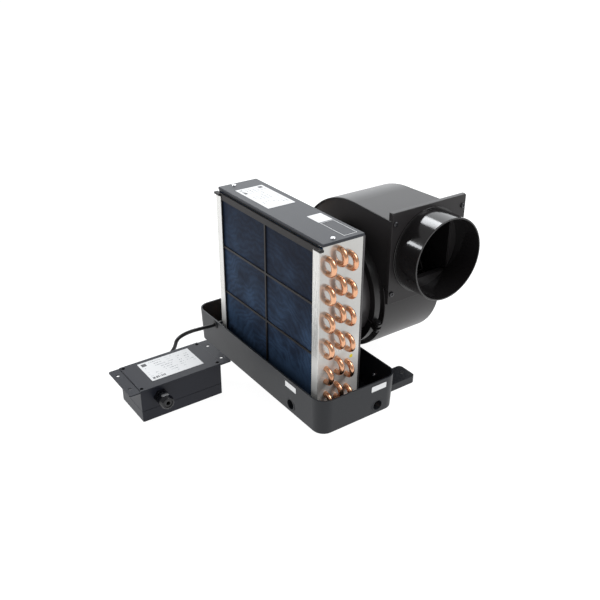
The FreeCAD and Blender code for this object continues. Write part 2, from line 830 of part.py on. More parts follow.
def scroll_outline(inset):
    # Spiral wall seen from the front, from the tongue round to the top, closed by the outlet
    low = outlet_low + inset
    first = 0.0
    for k in range(12):
        radius = scroll_start + scroll_growth * first - inset
        first = -math.asin((low - axis_z) / radius)
    last = math.radians(scroll_end)
    points = []
    steps = 24
    for k in range(steps + 1):
        turn = first + (last - first) * k / steps
        radius = scroll_start + scroll_growth * turn - inset
        points.append(V(axis_x + radius * math.cos(turn), 0, axis_z - radius * math.sin(turn)))
    spiral = Part.BSplineCurve()
    spiral.interpolate(points)
    high = V(outlet_x, 0, outlet_high - inset)
    bottom = V(outlet_x, 0, low)
    edges = [spiral.toShape(), Part.LineSegment(points[-1], high).toShape(),
             Part.LineSegment(high, bottom).toShape(), Part.LineSegment(bottom, points[0]).toShape()]
    return Part.Wire(edges)


def scroll_prism(inset, y0, y1):
    face = Part.Face(scroll_outline(inset))
    face.translate(V(0, y0, 0))
    return face.extrude(V(0, y1 - y0, 0))


def scroll_space(inset, front, recess, low):
    # The room inside the scroll, whose rear side flares back towards the outlet
    rear = scroll_rear - recess
    corners = [V(flare_start, rear, low), V(outlet_x, rear, low), V(outlet_x, rear + flare, low)]
    wedge = Part.Face(Part.makePolygon(corners + corners[:1])).extrude(V(0, 0, outlet_high + 10 - low))
    flared = scroll_prism(inset, rear - 1, rear + flare + 1).common(wedge)
    return scroll_prism(inset, front, rear).fuse(flared)


def scroll():
    through = scroll_prism(scroll_wall, scroll_front - 1, scroll_rear + flare + 2)
    wrap = scroll_space(0, scroll_front, 0, outlet_low)
    rim = [e for e in wrap.Edges if all(abs(v.Y - scroll_front) < 0.01 for v in e.Vertexes)
           and min(v.X for v in e.Vertexes) < outlet_x - 1 and max(v.Z for v in e.Vertexes) > outlet_low + 1]
    wrap = wrap.makeFillet(min(scroll_rim_round, scroll_wall * 0.6), rim).cut(through)
    flange = box(outlet_x - flange_thickness, outlet_x, duct_y - plate_side / 2, duct_y + plate_side / 2,
                 duct_z - plate_side / 2, duct_z + plate_side / 2)
    room = scroll_space(scroll_wall, scroll_front + scroll_lip, scroll_lip, outlet_low)
    wrap = wrap.fuse(flange.cut(room))
    for y, z in plate_screw_places():
        wrap = wrap.cut(rod(m4, V(outlet_x - 4.5, y, z), V(outlet_x + 1, y, z)))
    keep("scroll_wrap", solid_of(wrap))
    plate_y = scroll_front + scroll_lip
    front = scroll_prism(scroll_wall, plate_y, plate_y + scroll_wall)
    ring_start = neck_end + swivel_play
    front = front.fuse(rod(neck_radius, on_axis(ring_start), on_axis(plate_y + 0.5)))
    front = front.fuse(rod(ring_radius, on_axis(ring_start), on_axis(ring_start + ring_thickness)))
    front = front.cut(rod(neck_radius - neck_wall, on_axis(ring_start - 1), on_axis(plate_y + 9)))
    keep("scroll_front_plate", solid_of(front))
    middle = (scroll_front + scroll_rear) / 2
    rear = scroll_space(scroll_wall, middle, scroll_lip, outlet_low)
    rear = rear.cut(scroll_space(scroll_wall, middle - 5, scroll_lip + scroll_wall, outlet_low + scroll_wall))
    rear = rear.cut(rod(motor_radius + 0.5, on_axis(middle), on_axis(scroll_rear + 5)))
    for point in motor_screw_places():
        rear = rear.cut(rod(m4 + thread_fit, point - V(0, 20, 0), point + V(0, 20, 0)))
    keep("scroll_rear_plate", solid_of(rear))


def inlet_cone():
    # A bell mouth inside the inlet collar that leads the air into the impeller
    outer = neck_radius - neck_wall - 0.1
    start = neck_end + swivel_play + ring_thickness
    mouth = start + 2
    a = V(axis_x + outer, mouth, axis_z)
    b = V(axis_x + cone_throat + cone_wall, cone_end, axis_z)
    c = V(axis_x + cone_throat, cone_end, axis_z)
    d = V(axis_x + outer - cone_wall, mouth, axis_z)
    bow = V(-4.0, 3.0, 0)
    outside = Part.Arc(a, (a + b) * 0.5 + bow, b).toShape()
    inside = Part.Arc(c, (c + d) * 0.5 + bow, d).toShape()
    profile = Part.Wire([outside, Part.LineSegment(b, c).toShape(), inside, Part.LineSegment(d, a).toShape()])
    cone = Part.Face(profile).revolve(on_axis(0), V(0, 1, 0), 360)
    keep("inlet_cone", cone)


def plate_screw_places():
    along = plate_side / 2 - plate_screw_inset_y
    up = plate_side / 2 - plate_screw_inset_z
    return [(duct_y + sy * along, duct_z + sz * up) for sy in (-1, 1) for sz in (-1, 1)]


def rounded_end(barrel, x, radius):
    edges = [e for e in barrel.Edges if all(abs(v.X - x) < 0.01 for v in e.Vertexes)]
    return barrel.makeFillet(radius, edges)


def duct():
    half = plate_side / 2
    front = outlet_x + plate_thickness
    plate = box(outlet_x, front, duct_y - half, duct_y + half, duct_z - half, duct_z + half)
    corners = [e for e in plate.Edges if abs(e.Vertexes[0].X - e.Vertexes[-1].X) > 1]
    plate = plate.makeFillet(2.5, corners)
    plate = rounded_end(plate, front, duct_round)
    centre = V(0, duct_y, duct_z)
    plate = plate.cut(rod(collar_radius + 0.05, centre + V(outlet_x - 1, 0, 0), centre + V(front + 1, 0, 0)))
    screws = []
    for y, z in plate_screw_places():
        plate = plate.cut(rod(m4 + screw_play, V(outlet_x - 1, y, z), V(front + 1, y, z)))
        head = rod(plate_screw_head, V(front, y, z), V(front + plate_screw_head_height, y, z))
        shank = rod(m4 - thread_fit, V(outlet_x - 4, y, z), V(front + 1, y, z))
        screws.append(solid_of(head.fuse(shank)))
    keep("duct_plate", solid_of(plate))
    keep("duct_plate_screws", *screws)
    end = front + collar_length
    collar = rod(collar_radius, centre + V(outlet_x, 0, 0), centre + V(end, 0, 0))
    collar = rounded_end(collar, end, duct_round)
    step = front + collar_base_thickness
    base = rod(collar_radius + collar_step, centre + V(front, 0, 0), centre + V(step, 0, 0))
    collar = collar.fuse(rounded_end(base, step, duct_round))
    collar = collar.cut(rod(collar_radius - collar_wall, centre + V(outlet_x - 1, 0, 0),
                            centre + V(end + 1, 0, 0)))
    keep("duct_collar", solid_of(collar))


def blade():
    # One forward-curved blade between the two rings, slotted where it grips the middle disc
    faces = []
    for lead in (0.0, blade_sheet):
        points = []
        for radius, degrees in ((wheel_inner, 0.0), (wheel_radius * 0.92, blade_lead * 0.28),
                                (wheel_radius - 0.5, blade_lead)):
            turn = math.radians(degrees) + lead / radius
            points.append(V(radius * math.cos(turn), wheel_front + wheel_ring, radius * math.sin(turn)))
        faces.append(points)
    near, far = faces
    edges = [Part.Arc(*near).toShape(), Part.LineSegment(near[2], far[2]).toShape(),
             Part.Arc(far[2], far[1], far[0]).toShape(), Part.LineSegment(far[0], near[0]).toShape()]
    return Part.Face(Part.Wire(edges)).extrude(V(0, wheel_rear - wheel_front - 2 * wheel_ring, 0))


def impeller():
    # A pressed wheel: two rings and a middle disc on a turned hub, with the blades between them
    front_ring = ring(wheel_radius, wheel_inner, V(0, wheel_front, 0), V(0, wheel_front + wheel_ring, 0))
    rear_ring = ring(wheel_radius, wheel_inner, V(0, wheel_rear - wheel_ring, 0), V(0, wheel_rear, 0))
    disc_rear = wheel_disc_y + wheel_ring
    disc = ring(wheel_inner + blade_slot, hub_radius, V(0, wheel_disc_y, 0), V(0, disc_rear, 0))
    hub = rod(hub_radius, V(0, hub_front, 0), V(0, hub_rear, 0))
    hub = hub.fuse(rod(hub_flange, V(0, wheel_disc_y - hub_flange_thickness, 0), V(0, wheel_disc_y, 0)))
    hub = hub.cut(rod(shaft_radius + thread_fit, V(0, hub_front - 1, 0), V(0, hub_rear + 1, 0)))
    screw_y = (hub_front + wheel_disc_y - hub_flange_thickness) / 2
    hub = hub.cut(rod(hub_screw + 0.05, V(0, screw_y, shaft_radius), V(0, screw_y, hub_radius + 1)))
    slotted = solid_of(blade().cut(disc))
    pieces = [front_ring, rear_ring, disc, solid_of(hub)]
    for k in range(blade_count):
        copy = slotted.copy()
        copy.rotate(V(0, 0, 0), V(0, 1, 0), 360.0 * k / blade_count)
        pieces.append(copy)
    for piece in pieces:
        piece.translate(V(axis_x, 0, axis_z))
    keep("impeller_wheel", *pieces)
    keep("hub_set_screw", rod(hub_screw, V(axis_x, screw_y, axis_z + shaft_radius + 0.05),
                              V(axis_x, screw_y, axis_z + hub_radius - 1)))
    keep("motor_shaft", rod(shaft_radius, on_axis(shaft_front), on_axis(shaft_rear)))


def motor_screw_places():
    places = []
    for k in range(3):
        turn = math.radians(motor_lug_angle + 120 * k)
        places.append(on_axis(scroll_rear - scroll_lip) + V(motor_screw_circle * math.cos(turn), 0,
                                                           motor_screw_circle * math.sin(turn)))
    return places


def motor():
    seat = scroll_rear - scroll_lip
    can = rod(motor_radius, on_axis(motor_front), on_axis(motor_rear))
    rims = [e for e in can.Edges if e.Length > 200]
    can = can.makeFillet(3.0, [e for e in rims if abs(e.Vertexes[0].Y - motor_front) < 0.01])
    for k in range(3):
        lug = box(0, motor_screw_circle, seat, seat + motor_lug_thickness, -motor_lug, motor_lug)
        end = V(motor_screw_circle, seat, 0)
        lug = lug.fuse(rod(motor_lug, end, end + V(0, motor_lug_thickness, 0)))
        lug.rotate(V(0, 0, 0), V(0, 1, 0), -motor_lug_angle - 120 * k)
        lug.translate(V(axis_x, 0, axis_z))
        can = can.fuse(lug)
    can = can.cut(rod(shaft_radius + 0.5, on_axis(motor_front - 1), on_axis(motor_rear + 1)))
    pocket = bearing_width + 1
    can = can.cut(rod(bearing_radius, on_axis(motor_front - 1), on_axis(motor_front + pocket)))
    can = can.cut(rod(bearing_radius, on_axis(motor_rear - pocket), on_axis(motor_rear + 1)))
    screws = []
    for point in motor_screw_places():
        can = can.cut(rod(m4 + screw_play, point - V(0, 1, 0), point + V(0, 9, 0)))
        top = point + V(0, motor_lug_thickness, 0)
        head = rod(m4_head, top, top + V(0, m4_head_height, 0))
        screws.append(solid_of(head.fuse(rod(m4, point - V(0, 3.5, 0), top + V(0, 1, 0)))))
    keep("motor_can", solid_of(can))
    keep("motor_screws", *screws)
    bearings = []
    for start in (motor_front + 1, motor_rear - pocket):
        bearings.append(ring(bearing_radius, shaft_radius + running_play, on_axis(start),
                             on_axis(start + bearing_width)))
    keep("motor_bearings", *bearings)
    cap = rod(motor_radius, on_axis(motor_rear), on_axis(motor_rear + motor_cap))
    outer = [e for e in cap.Edges if e.Length > 200 and abs(e.Vertexes[0].Y - motor_rear - motor_cap) < 0.01]
    cap = cap.makeFillet(6.0, outer)
    cap = cap.cut(rod(bearing_radius, on_axis(motor_rear - 1), on_axis(shaft_rear + 1)))
    keep("motor_end_cap", solid_of(cap))


def control_box():
    half_x = box_width / 2
    half_y = box_length / 2
    body = box(-half_x, half_x, -half_y, half_y, 0, box_height)
    uprights = [e for e in body.Edges if abs(e.Vertexes[0].Z - e.Vertexes[-1].Z) > 1]
    body = body.makeFillet(box_corner, uprights)
    inner = box(-half_x + box_wall, half_x - box_wall, -half_y + box_wall, half_y - box_wall,
                box_wall, box_height + 1)
    groove = box(-half_x - 1, half_x + 1, -half_y - 1, half_y + 1, seam_height, seam_height + seam_width)
    core = box(-half_x + seam_depth, half_x - seam_depth, -half_y + seam_depth, half_y - seam_depth,
               seam_height - 1, seam_height + seam_width + 1)
    body = body.cut(groove.cut(core))
    for sign in (-1, 1):
        y0, y1 = sorted((sign * (half_y - 1.5), sign * (half_y + ear_length)))
        ear = box(-lid_width / 2, lid_width / 2, y0, y1, ear_top - ear_thickness, ear_top)
        corners = [e for e in ear.Edges if abs(e.Vertexes[0].Z - e.Vertexes[-1].Z) > 1
                   and abs(abs(e.Vertexes[0].Y) - half_y - ear_length) < 0.01]
        body = body.fuse(ear.makeFillet(3.0, corners))
    body = body.cut(inner)
    lid_room = box(-lid_width, lid_width, -half_y - lid_play, half_y + lid_play, box_height, box_height + 9)
    body = body.cut(lid_room)
    bosses = []
    for sx in (-1, 1):
        for sy in (-1, 1):
            place = V(sx * lid_screw_x, sy * lid_screw_y, 0)
            bosses.append(rod(boss_radius, place + V(0, 0, box_wall - 1), place + V(0, 0, box_height)))
    body = body.fuse(bosses)
    lid = box(-lid_width / 2, lid_width / 2, -half_y, half_y, box_height, box_height + lid_thickness)
    lid_top = [e for e in lid.Edges if abs(e.Vertexes[0].Z - box_height - lid_thickness) < 0.01
               and abs(e.Vertexes[-1].Z - box_height - lid_thickness) < 0.01]
    lid = lid.makeFillet(0.6, lid_top)
    screws = []
    top = box_height + lid_thickness
    for sx in (-1, 1):
        for sy in (-1, 1):
            place = V(sx * lid_screw_x, sy * lid_screw_y, 0)
            sink = top - lid_screw_sink
            end = box_height - lid_screw_depth
            body = body.cut(rod(lid_screw, place + V(0, 0, end - 2), place + V(0, 0, box_height + 1)))
            lid = lid.cut(rod(lid_screw_head + 0.1, place + V(0, 0, sink), place + V(0, 0, top + 1)))
            lid = lid.cut(rod(lid_screw + 0.1, place + V(0, 0, box_height - 1), place + V(0, 0, top)))
            head = rod(lid_screw_head, place + V(0, 0, sink), place + V(0, 0, sink + lid_screw_head_height))
            head = head.fuse(rod(lid_screw - thread_fit, place + V(0, 0, end), place + V(0, 0, sink + 0.5)))
            screws.append(solid_of(head))
            hole = V(sx * ear_hole_x, sy * ear_hole_y, 0)
            body = body.cut(rod(ear_hole, hole + V(0, 0, ear_top - 9), hole + V(0, 0, ear_top + 1)))
    shift = V(box_x, box_y, 0)
    for sign, y, z in gland_places():
        inside = V(sign * (half_x - 9), y - box_y, z)
        outside = V(sign * (half_x + 9), y - box_y, z)
        body = body.cut(rod(gland_thread + 0.1, inside, outside))
    body = solid_of(body)
    lid = solid_of(lid)
    for shape in [body, lid] + screws:
        shape.translate(shift)
    keep("control_box_body", body)
    keep("control_box_lid", lid)
    keep("lid_screws", *screws)


def gland_places():
    return [(1, free_gland_y, free_gland_z), (-1, cable_gland_y, cable_gland_z)]


def cable_glands():
    bodies = []
    nuts = []
    seals = []
    locknuts = []
    for sign, y, z in gland_places():
        face = V(box_x + sign * box_width / 2, y, z)
        out = V(sign, 0, 0)
        nut_start = gland_collar + gland_gap
        thread_end = nut_start + 5
        nut_end = nut_start + gland_grip
        collar = hexagon(gland_flats, face, face + out * gland_collar)
        thread = rod(gland_thread, face - out * 9, face + out * thread_end)
        body = collar.fuse(thread).cut(rod(gland_bore, face - out * 10, face + out * (thread_end + 1)))
        bodies.append(solid_of(body))
        nut = hexagon(gland_flats, face + out * nut_start, face + out * nut_end)
        dome = Part.makeCone(gland_nut_radius + 1, gland_mouth, gland_reach - thread_end - 2,
                             face + out * (thread_end + 2), out)
        nut = nut.common(rod(gland_nut_radius, face + out * nut_start, face + out * nut_end)).fuse(dome)
        nut = nut.common(rod(gland_nut_radius, face + out * nut_start, face + out * gland_reach))
        nut = nut.cut(rod(gland_thread + 0.05, face + out * (nut_start - 1), face + out * (thread_end + 2)))
        nut = nut.cut(rod(gland_bore, face + out * (nut_start - 1), face + out * (gland_reach + 1)))
        nuts.append(solid_of(nut))
        seals.append(ring(gland_bore, cable_radius + cable_play, face + out * (thread_end + 0.2),
                          face + out * (gland_reach - 1)))
        inside = face - out * box_wall
        lock = hexagon(gland_flats, inside - out * locknut, inside)
        locknuts.append(solid_of(lock.cut(rod(gland_thread + thread_fit, inside - out * (locknut + 1),
                                              inside + out))))
    keep("gland_bodies", *bodies)
    keep("gland_nuts", *nuts)
    keep("gland_seals", *seals)
    keep("gland_locknuts", *locknuts)


def box_contents():
    board_z = box_wall + standoff_height
    top = board_z + board_sheet
    middle = V(box_x, box_y, 0)
    corners = [middle + V(sx * standoff_x, sy * standoff_y, 0) for sx in (-1, 1) for sy in (-1, 1)]
    board = box(box_x - board_width / 2, box_x + board_width / 2, box_y - board_length / 2,
                box_y + board_length / 2, board_z, top)
    for corner in corners:
        hole = rod(standoff_radius * 0.55, corner + V(0, 0, board_z - 1), corner + V(0, 0, top + 1))
        board = board.cut(hole)
    keep("control_board", solid_of(board))
    keep("board_standoffs", *[rod(standoff_radius, c + V(0, 0, box_wall), c + V(0, 0, board_z))
                              for c in corners])
    left = box_x - board_width / 2 + 7
    relays = []
    for k in range(3):
        y = box_y - board_length / 2 + 6.5 + k * relay_pitch
        relays.append(box(left, left + relay_width, y, y + relay_length, top, top + relay_height))
    keep("fan_relays", *relays)
    strip_low = box_y - board_length / 2 + 14
    strip_left = box_x + 4
    strip = box(strip_left, strip_left + strip_width, strip_low, strip_low + strip_length,
                top, top + strip_height)
    for k in range(int(strip_length / strip_pitch)):
        y = strip_low + (k + 0.5) * strip_pitch
        strip = strip.cut(rod(strip_well, V(strip_left + strip_width / 2, y, top + 4),
                              V(strip_left + strip_width / 2, y, top + strip_height + 1)))
    keep("terminal_strip", solid_of(strip))
    start = V(left + capacitor_radius - 4, box_y + 20, top + capacitor_radius)
    keep("run_capacitor", rod(capacitor_radius, start, start + V(0, capacitor_length, 0)))


def control_cable():
    start = box_x - box_width / 2 - gland_reach + 1
    wall = -(tray_depth / 2 - wall_inset(grommet_z))
    seat = shroud_rear + socket_depth
    entry = seat + plug_depth
    route = [
        V(start, cable_gland_y, cable_gland_z),
        V(-127, cable_gland_y, 26),
        V(-138, -211, 20),
        V(-146, -202, 14.5),
        V(-151, -190, 11.5),
        V(-152.5, -179, 14.5),
        V(-150, -171, 24.5),
        V(-147.5, -167.5, 34.5),
        V(-146, -166, 43.5),
        V(-143.5, -160, 51.5),
        V(-140, -148, 57.5),
        V(-137, -133, 60.5),
        V(grommet_x, -116, 60),
        V(grommet_x, wall - 13, grommet_z),
        V(grommet_x, wall + 11, grommet_z),
        V(-143, wall + 18.1, 55.5),
        V(-156, wall + 19.6, 47),
        V(-172, wall + 20.1, 36),
        V(-187, wall + 27.6, 26),
        V(-197, -41, 17),
        V(-200.5, -19, 11),
        V(-200.5, 6, 9),
        V(-197.5, 30, 11),
        V(-189, 50, 17),
        V(-174, 63, 27),
        V(-158, 66, 40),
        V(socket_x, 62, socket_z),
        V(socket_x, entry, socket_z),
    ]
    cable, radii = pipe(route, cable_radius)
    keep("control_cable", cable)
    print("cable bend radii", [round(r, 1) for r in radii])
    length = cable.Volume / (math.pi * cable_radius ** 2)
    print("cable length", round(length, 1))
    keep("fan_socket", box(socket_x - socket_half, socket_x + socket_half, shroud_rear, seat,
                           socket_z - plug_half, socket_z + plug_half))
    keep("cable_plug", box(socket_x - plug_half, socket_x + plug_half, seat, entry,
                           socket_z - plug_low, socket_z + plug_low))


tray = drip_tray()
tray_fittings(tray)
mounting_feet()
end_plates()
coil_screws()
coil()
return_bends()
refrigerant_pipes()
filter_pieces()
top_cover()
rear_shroud()
swivel_clamp()
scroll()
inlet_cone()
duct()
impeller()
motor()
control_box()
cable_glands()
box_contents()
control_cable()

os.makedirs("parts", exist_ok=True)
for name, solids in nodes.items():
    shape = solids[0] if len(solids) == 1 else Part.makeCompound(solids)
    shape.exportStep("parts/" + name + ".step")
print(len(nodes), "nodes")
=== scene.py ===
import math

import bmesh
import bpy
from mathutils import Matrix, Vector


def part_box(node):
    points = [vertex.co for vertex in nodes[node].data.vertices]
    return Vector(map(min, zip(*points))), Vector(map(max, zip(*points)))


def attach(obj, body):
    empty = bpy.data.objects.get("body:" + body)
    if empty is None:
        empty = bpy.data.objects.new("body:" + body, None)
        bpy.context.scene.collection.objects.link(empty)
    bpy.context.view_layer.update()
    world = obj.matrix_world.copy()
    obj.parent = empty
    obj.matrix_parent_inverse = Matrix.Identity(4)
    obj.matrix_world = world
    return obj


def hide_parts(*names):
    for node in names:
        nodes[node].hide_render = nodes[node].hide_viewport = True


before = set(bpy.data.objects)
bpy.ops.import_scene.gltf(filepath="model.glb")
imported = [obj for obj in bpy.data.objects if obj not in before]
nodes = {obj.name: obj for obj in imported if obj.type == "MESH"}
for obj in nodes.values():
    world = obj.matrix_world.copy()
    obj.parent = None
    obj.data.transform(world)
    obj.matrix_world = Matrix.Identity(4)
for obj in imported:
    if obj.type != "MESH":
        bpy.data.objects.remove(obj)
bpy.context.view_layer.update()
mm = 0.001  # sizes and places are in metres, and mm turns millimetres into them

# Camera

cameraSettings = {
    "place": (1.04662, -0.71966, 0.81319),
    "azimuth": 54.68,
    "elevation": 27.70,
    "roll": 0.24,
    "lens": 46.9,
    "sensor": 36.0,
}


def makeCamera():
    turn = math.radians(cameraSettings["azimuth"])
    lift = math.radians(cameraSettings["elevation"])
    tilt = math.radians(cameraSettings["roll"])
    back = Vector((math.sin(turn) * math.cos(lift), -math.cos(turn) * math.cos(lift), math.sin(lift)))
    right = Vector((0, 0, 1)).cross(back).normalized()
    up = back.cross(right)
    tilted = right * math.cos(tilt) + up * math.sin(tilt)
    upright = back.cross(tilted)
    placed = Matrix((tilted, upright, back)).transposed().to_4x4()
    placed.translation = Vector(cameraSettings["place"])
    data = bpy.data.cameras.new("viewCamera")
    data.lens = cameraSettings["lens"]
    data.sensor_width = cameraSettings["sensor"]
    camera = bpy.data.objects.new("viewCamera", data)
    bpy.context.scene.collection.objects.link(camera)
    camera.matrix_world = placed
    bpy.context.scene.camera = camera


makeCamera()
print("camera placed")

# Shader helpers: a wire is a socket that can be used in sums


class Wire:
    def __init__(self, finish, socket):
        self.finish = finish
        self.socket = socket

    def maths(self, operation, other, swapped=False):
        pair = {0: other, 1: self} if swapped else {0: self, 1: other}
        return self.finish.node("ShaderNodeMath", {"operation": operation}, pair)

    def __add__(self, other):
        return self.maths("ADD", other)

    def __sub__(self, other):
        return self.maths("SUBTRACT", other)

    def __rsub__(self, other):
        return self.maths("SUBTRACT", other, True)

    def __mul__(self, other):
        return self.maths("MULTIPLY", other)

    def __truediv__(self, other):
        return self.maths("DIVIDE", other)

    def __rtruediv__(self, other):
        return self.maths("DIVIDE", other, True)

    def __gt__(self, other):
        return self.maths("GREATER_THAN", other)

    def __lt__(self, other):
        return self.maths("LESS_THAN", other)

    __radd__ = __add__
    __rmul__ = __mul__


def opaque(colour):
    # A plain colour gets its alpha, and a wire that carries a colour stays as it is
    return colour if isinstance(colour, Wire) else (*colour, 1)


class Finish:
    def __init__(self, name, metallic=0.0, specular=0.5):
        self.material = bpy.data.materials.new(name)
        self.material.use_nodes = True
        self.tree = self.material.node_tree
        self.shader = self.tree.nodes["Principled BSDF"]
        self.put("Metallic", metallic)
        self.put("Specular IOR Level", specular)
        self.place = self.node("ShaderNodeTexCoord", {}, {}, "Object")

    def node(self, kind, settings, sockets, output=0):
        made = self.tree.nodes.new(kind)
        for name, value in settings.items():
            setattr(made, name, value)
        for key, value in sockets.items():
            self.fill(made.inputs[key], value)
        return Wire(self, made.outputs[output])

    def fill(self, socket, value):
        # A wire is linked, and a plain value is typed into the socket
        if isinstance(value, Wire):
            self.tree.links.new(value.socket, socket)
        else:
            socket.default_value = value

    def put(self, name, value):
        self.fill(self.shader.inputs[name], value)

    def noise(self, scale, detail=3.0, roughness=0.55, vector=None):
        return self.node("ShaderNodeTexNoise", {}, {
            "Vector": vector or self.place, "Scale": scale, "Detail": detail, "Roughness": roughness,
        })

    def wave(self, settings, sockets):
        return self.node("ShaderNodeTexWave", settings, {"Vector": self.place, **sockets})

    def stretched(self, factors):
        return self.node("ShaderNodeMapping", {}, {"Vector": self.place, "Scale": factors})

    def mixed(self, factor, first, second):
        return self.node("ShaderNodeMix", {"data_type": "RGBA"},
                         {0: factor, 6: opaque(first), 7: opaque(second)}, 2)

    def larger(self, first, second):
        return self.node("ShaderNodeMath", {"operation": "MAXIMUM"}, {0: first, 1: second})

    def part(self, axis):
        return self.node("ShaderNodeSeparateXYZ", {}, {0: self.place}, axis)

    def edges(self, radius):
        return self.node("ShaderNodeBevel", {"samples": 4}, {"Radius": radius})

    def bump(self, height, depth, strength, normal=None):
        sockets = {"Height": height, "Distance": depth, "Strength": strength}
        if normal:
            sockets["Normal"] = normal
        self.put("Normal", self.node("ShaderNodeBump", {}, sockets))


# Materials, kept under their names. A pattern is written as its noise's scale, detail and,
# where a third number follows, roughness

looks = {}

# Satin skins: a slow cloud between two colours, a fine grain and slightly rounded edges.
# Roughness is a base, and what the cloud and the grain add to it

satinSettings = {
    "trayPlastic": {
        "dark": (0.0095, 0.0108, 0.0135), "light": (0.0155, 0.0175, 0.0215), "specular": 0.32,
        "cloud": (9.0, 4.0), "grain": (900.0, 2.0), "roughness": (0.34, 0.12, 0.06),
        "depth": 0.06 * mm, "strength": 0.6, "edge": 0.9 * mm,
    },
    "coverPaint": {
        "dark": (0.018, 0.0205, 0.028), "light": (0.026, 0.029, 0.037), "specular": 0.31,
        "cloud": (6.0, 3.0), "grain": (1400.0, 2.0), "roughness": (0.36, 0.0, 0.10),
        "depth": 0.04 * mm, "strength": 0.5, "edge": 0.5 * mm,
    },
    "filterFrame": {
        "dark": (0.012, 0.0105, 0.011), "light": (0.019, 0.017, 0.017), "specular": 0.2,
        "cloud": (20.0, 3.0), "grain": (700.0, 2.0), "roughness": (0.38, 0.0, 0.14),
        "depth": 0.05 * mm, "strength": 0.5, "edge": 0.4 * mm,
    },
}


def makeSatin(name):
    s = satinSettings[name]
    f = Finish(name, specular=s["specular"])
    cloud = f.noise(*s["cloud"])
    grain = f.noise(*s["grain"])
    base, byCloud, byGrain = s["roughness"]
    f.put("Base Color", f.mixed(cloud, s["dark"], s["light"]))
    f.put("Roughness", base + cloud * byCloud + grain * byGrain)
    f.bump(grain, s["depth"], s["strength"], f.edges(s["edge"]))
    looks[name] = f.material


# Moulded plastic of the blower: deep black with a soft orange-peel gloss

mouldedSettings = {
    "blowerPlastic": {"shade": 0.007, "rough": 0.26},
    # Scroll front plate: lifted above the blower's black, partly for its own brownish tone and partly as
    # painted light on a plate that sits in shade
    "scrollFrontPaintedLightPlastic": {"shade": 0.022, "rough": 0.30},
    # Rear shroud: painted reflection, a much lighter shade of the same black plastic standing in for the
    # glossy reflections on its neck
    "shroudPaintedReflectionPlastic": {"shade": 0.048, "rough": 0.30},
    "clampPlastic": {"shade": 0.006, "rough": 0.42},
    "wrapPlastic": {"shade": 0.020, "rough": 0.37, "specular": 0.38},
    "collarPlastic": {"shade": 0.011, "rough": 0.13, "peelDepth": 0.02 * mm},
    "ductPlatePlastic": {"shade": 0.024, "rough": 0.36, "peelDepth": 0.04 * mm, "specular": 0.25},
}

# What they share: roughness starts a little lower, and the haze adds to it

peelSettings = {
    "peel": (160.0, 2.0),
    "haze": (7.0, 3.0),
    "darkTint": (0.85, 0.78, 0.80),
    "lightTint": (1.30, 1.20, 1.25),
    "hazeRoughness": (-0.04, 0.10),
    "strength": 0.35,
    "edge": 0.6 * mm,
}


def makeMoulded(name, shade, rough, peelDepth=0.1 * mm, specular=0.5):
    s = peelSettings
    f = Finish(name, specular=specular)
    peel = f.noise(*s["peel"])
    haze = f.noise(*s["haze"])
    dark = tuple(shade * tint for tint in s["darkTint"])
    light = tuple(shade * tint for tint in s["lightTint"])
    less, more = s["hazeRoughness"]
    f.put("Base Color", f.mixed(haze, dark, light))
    f.put("Roughness", rough + less + haze * more)
    f.bump(peel, peelDepth, s["strength"], f.edges(s["edge"]))
    looks[name] = f.material


# Rolled aluminium sheet: fine vertical grain and faint smudges, with painted light that makes it paler and
# less metallic low down, where it would mirror the dark tray, and paler on the front flange

endPlateSettings = {
    "sheet": ((0.45, 0.445, 0.43), (0.54, 0.535, 0.515)),
    # Painted light: the pale colour laid low on the sheet, full at the bottom and gone higher up
    "paintedLight": (0.84, 0.835, 0.805),
    "paintedLightFull": 80 * mm,
    "paintedLightGone": 165 * mm,
    "flangeBack": -53.5 * mm,
    # Painted light on the front flange, at this share of the full pale colour
    "flangePaintedLight": 0.5,
    "grain": (40.0, 4.0, 0.6),
    "grainStretch": (22.0, 22.0, 0.8),
    "smudge": (14.0, 4.0),
    "metallic": 0.68,
    "paintedLightMetallic": 0.50,
    "roughness": 0.13,
    "addedRoughness": {"grain": 0.06, "smudge": 0.05, "paintedLight": 0.18},
    "depth": 0.05 * mm,
    "strength": 0.5,
    "edge": 0.4 * mm,
}


def makeEndPlateMetal():
    s = endPlateSettings
    f = Finish("endPlateMetal")
    # Painted light: full at the bottom of the sheet and gone higher up, and at a share on the front flange;
    # it pales the colour and takes metal away
    lowPaintedLight = f.node("ShaderNodeMapRange", {"interpolation_type": "SMOOTHSTEP"}, {
        "Value": f.part(2), "From Min": s["paintedLightFull"], "From Max": s["paintedLightGone"],
        "To Min": 1.0, "To Max": 0.0,
    })
    paintedLight = f.larger(lowPaintedLight, (f.part(1) < s["flangeBack"]) * s["flangePaintedLight"])
    grain = f.noise(*s["grain"], f.stretched(s["grainStretch"]))
    smudge = f.noise(*s["smudge"])
    sheet = f.mixed(smudge, *s["sheet"])
    add = s["addedRoughness"]
    f.put("Base Color", f.mixed(paintedLight, sheet, s["paintedLight"]))
    f.put("Metallic", s["metallic"] - paintedLight * s["paintedLightMetallic"])
    f.put("Roughness", s["roughness"] + grain * add["grain"] + smudge * add["smudge"] + paintedLight * add["paintedLight"])
    f.bump(grain, s["depth"], s["strength"], f.edges(s["edge"]))
    looks["endPlateMetal"] = f.material


# Drawn copper tube, browned by patches of oxide

copperSettings = {
    "clean": (0.86, 0.505, 0.315),
    "dull": (0.62, 0.30, 0.17),
    "oxide": (0.42, 0.17, 0.09),
    "patches": (55.0, 4.0, 0.6),
    "oxideFrom": 0.62,
    "oxideStrength": 0.35,
    "roughness": (0.19, 0.12),
    "streak": (260.0, 2.0),
    "depth": 0.02 * mm,
    "strength": 0.4,
}


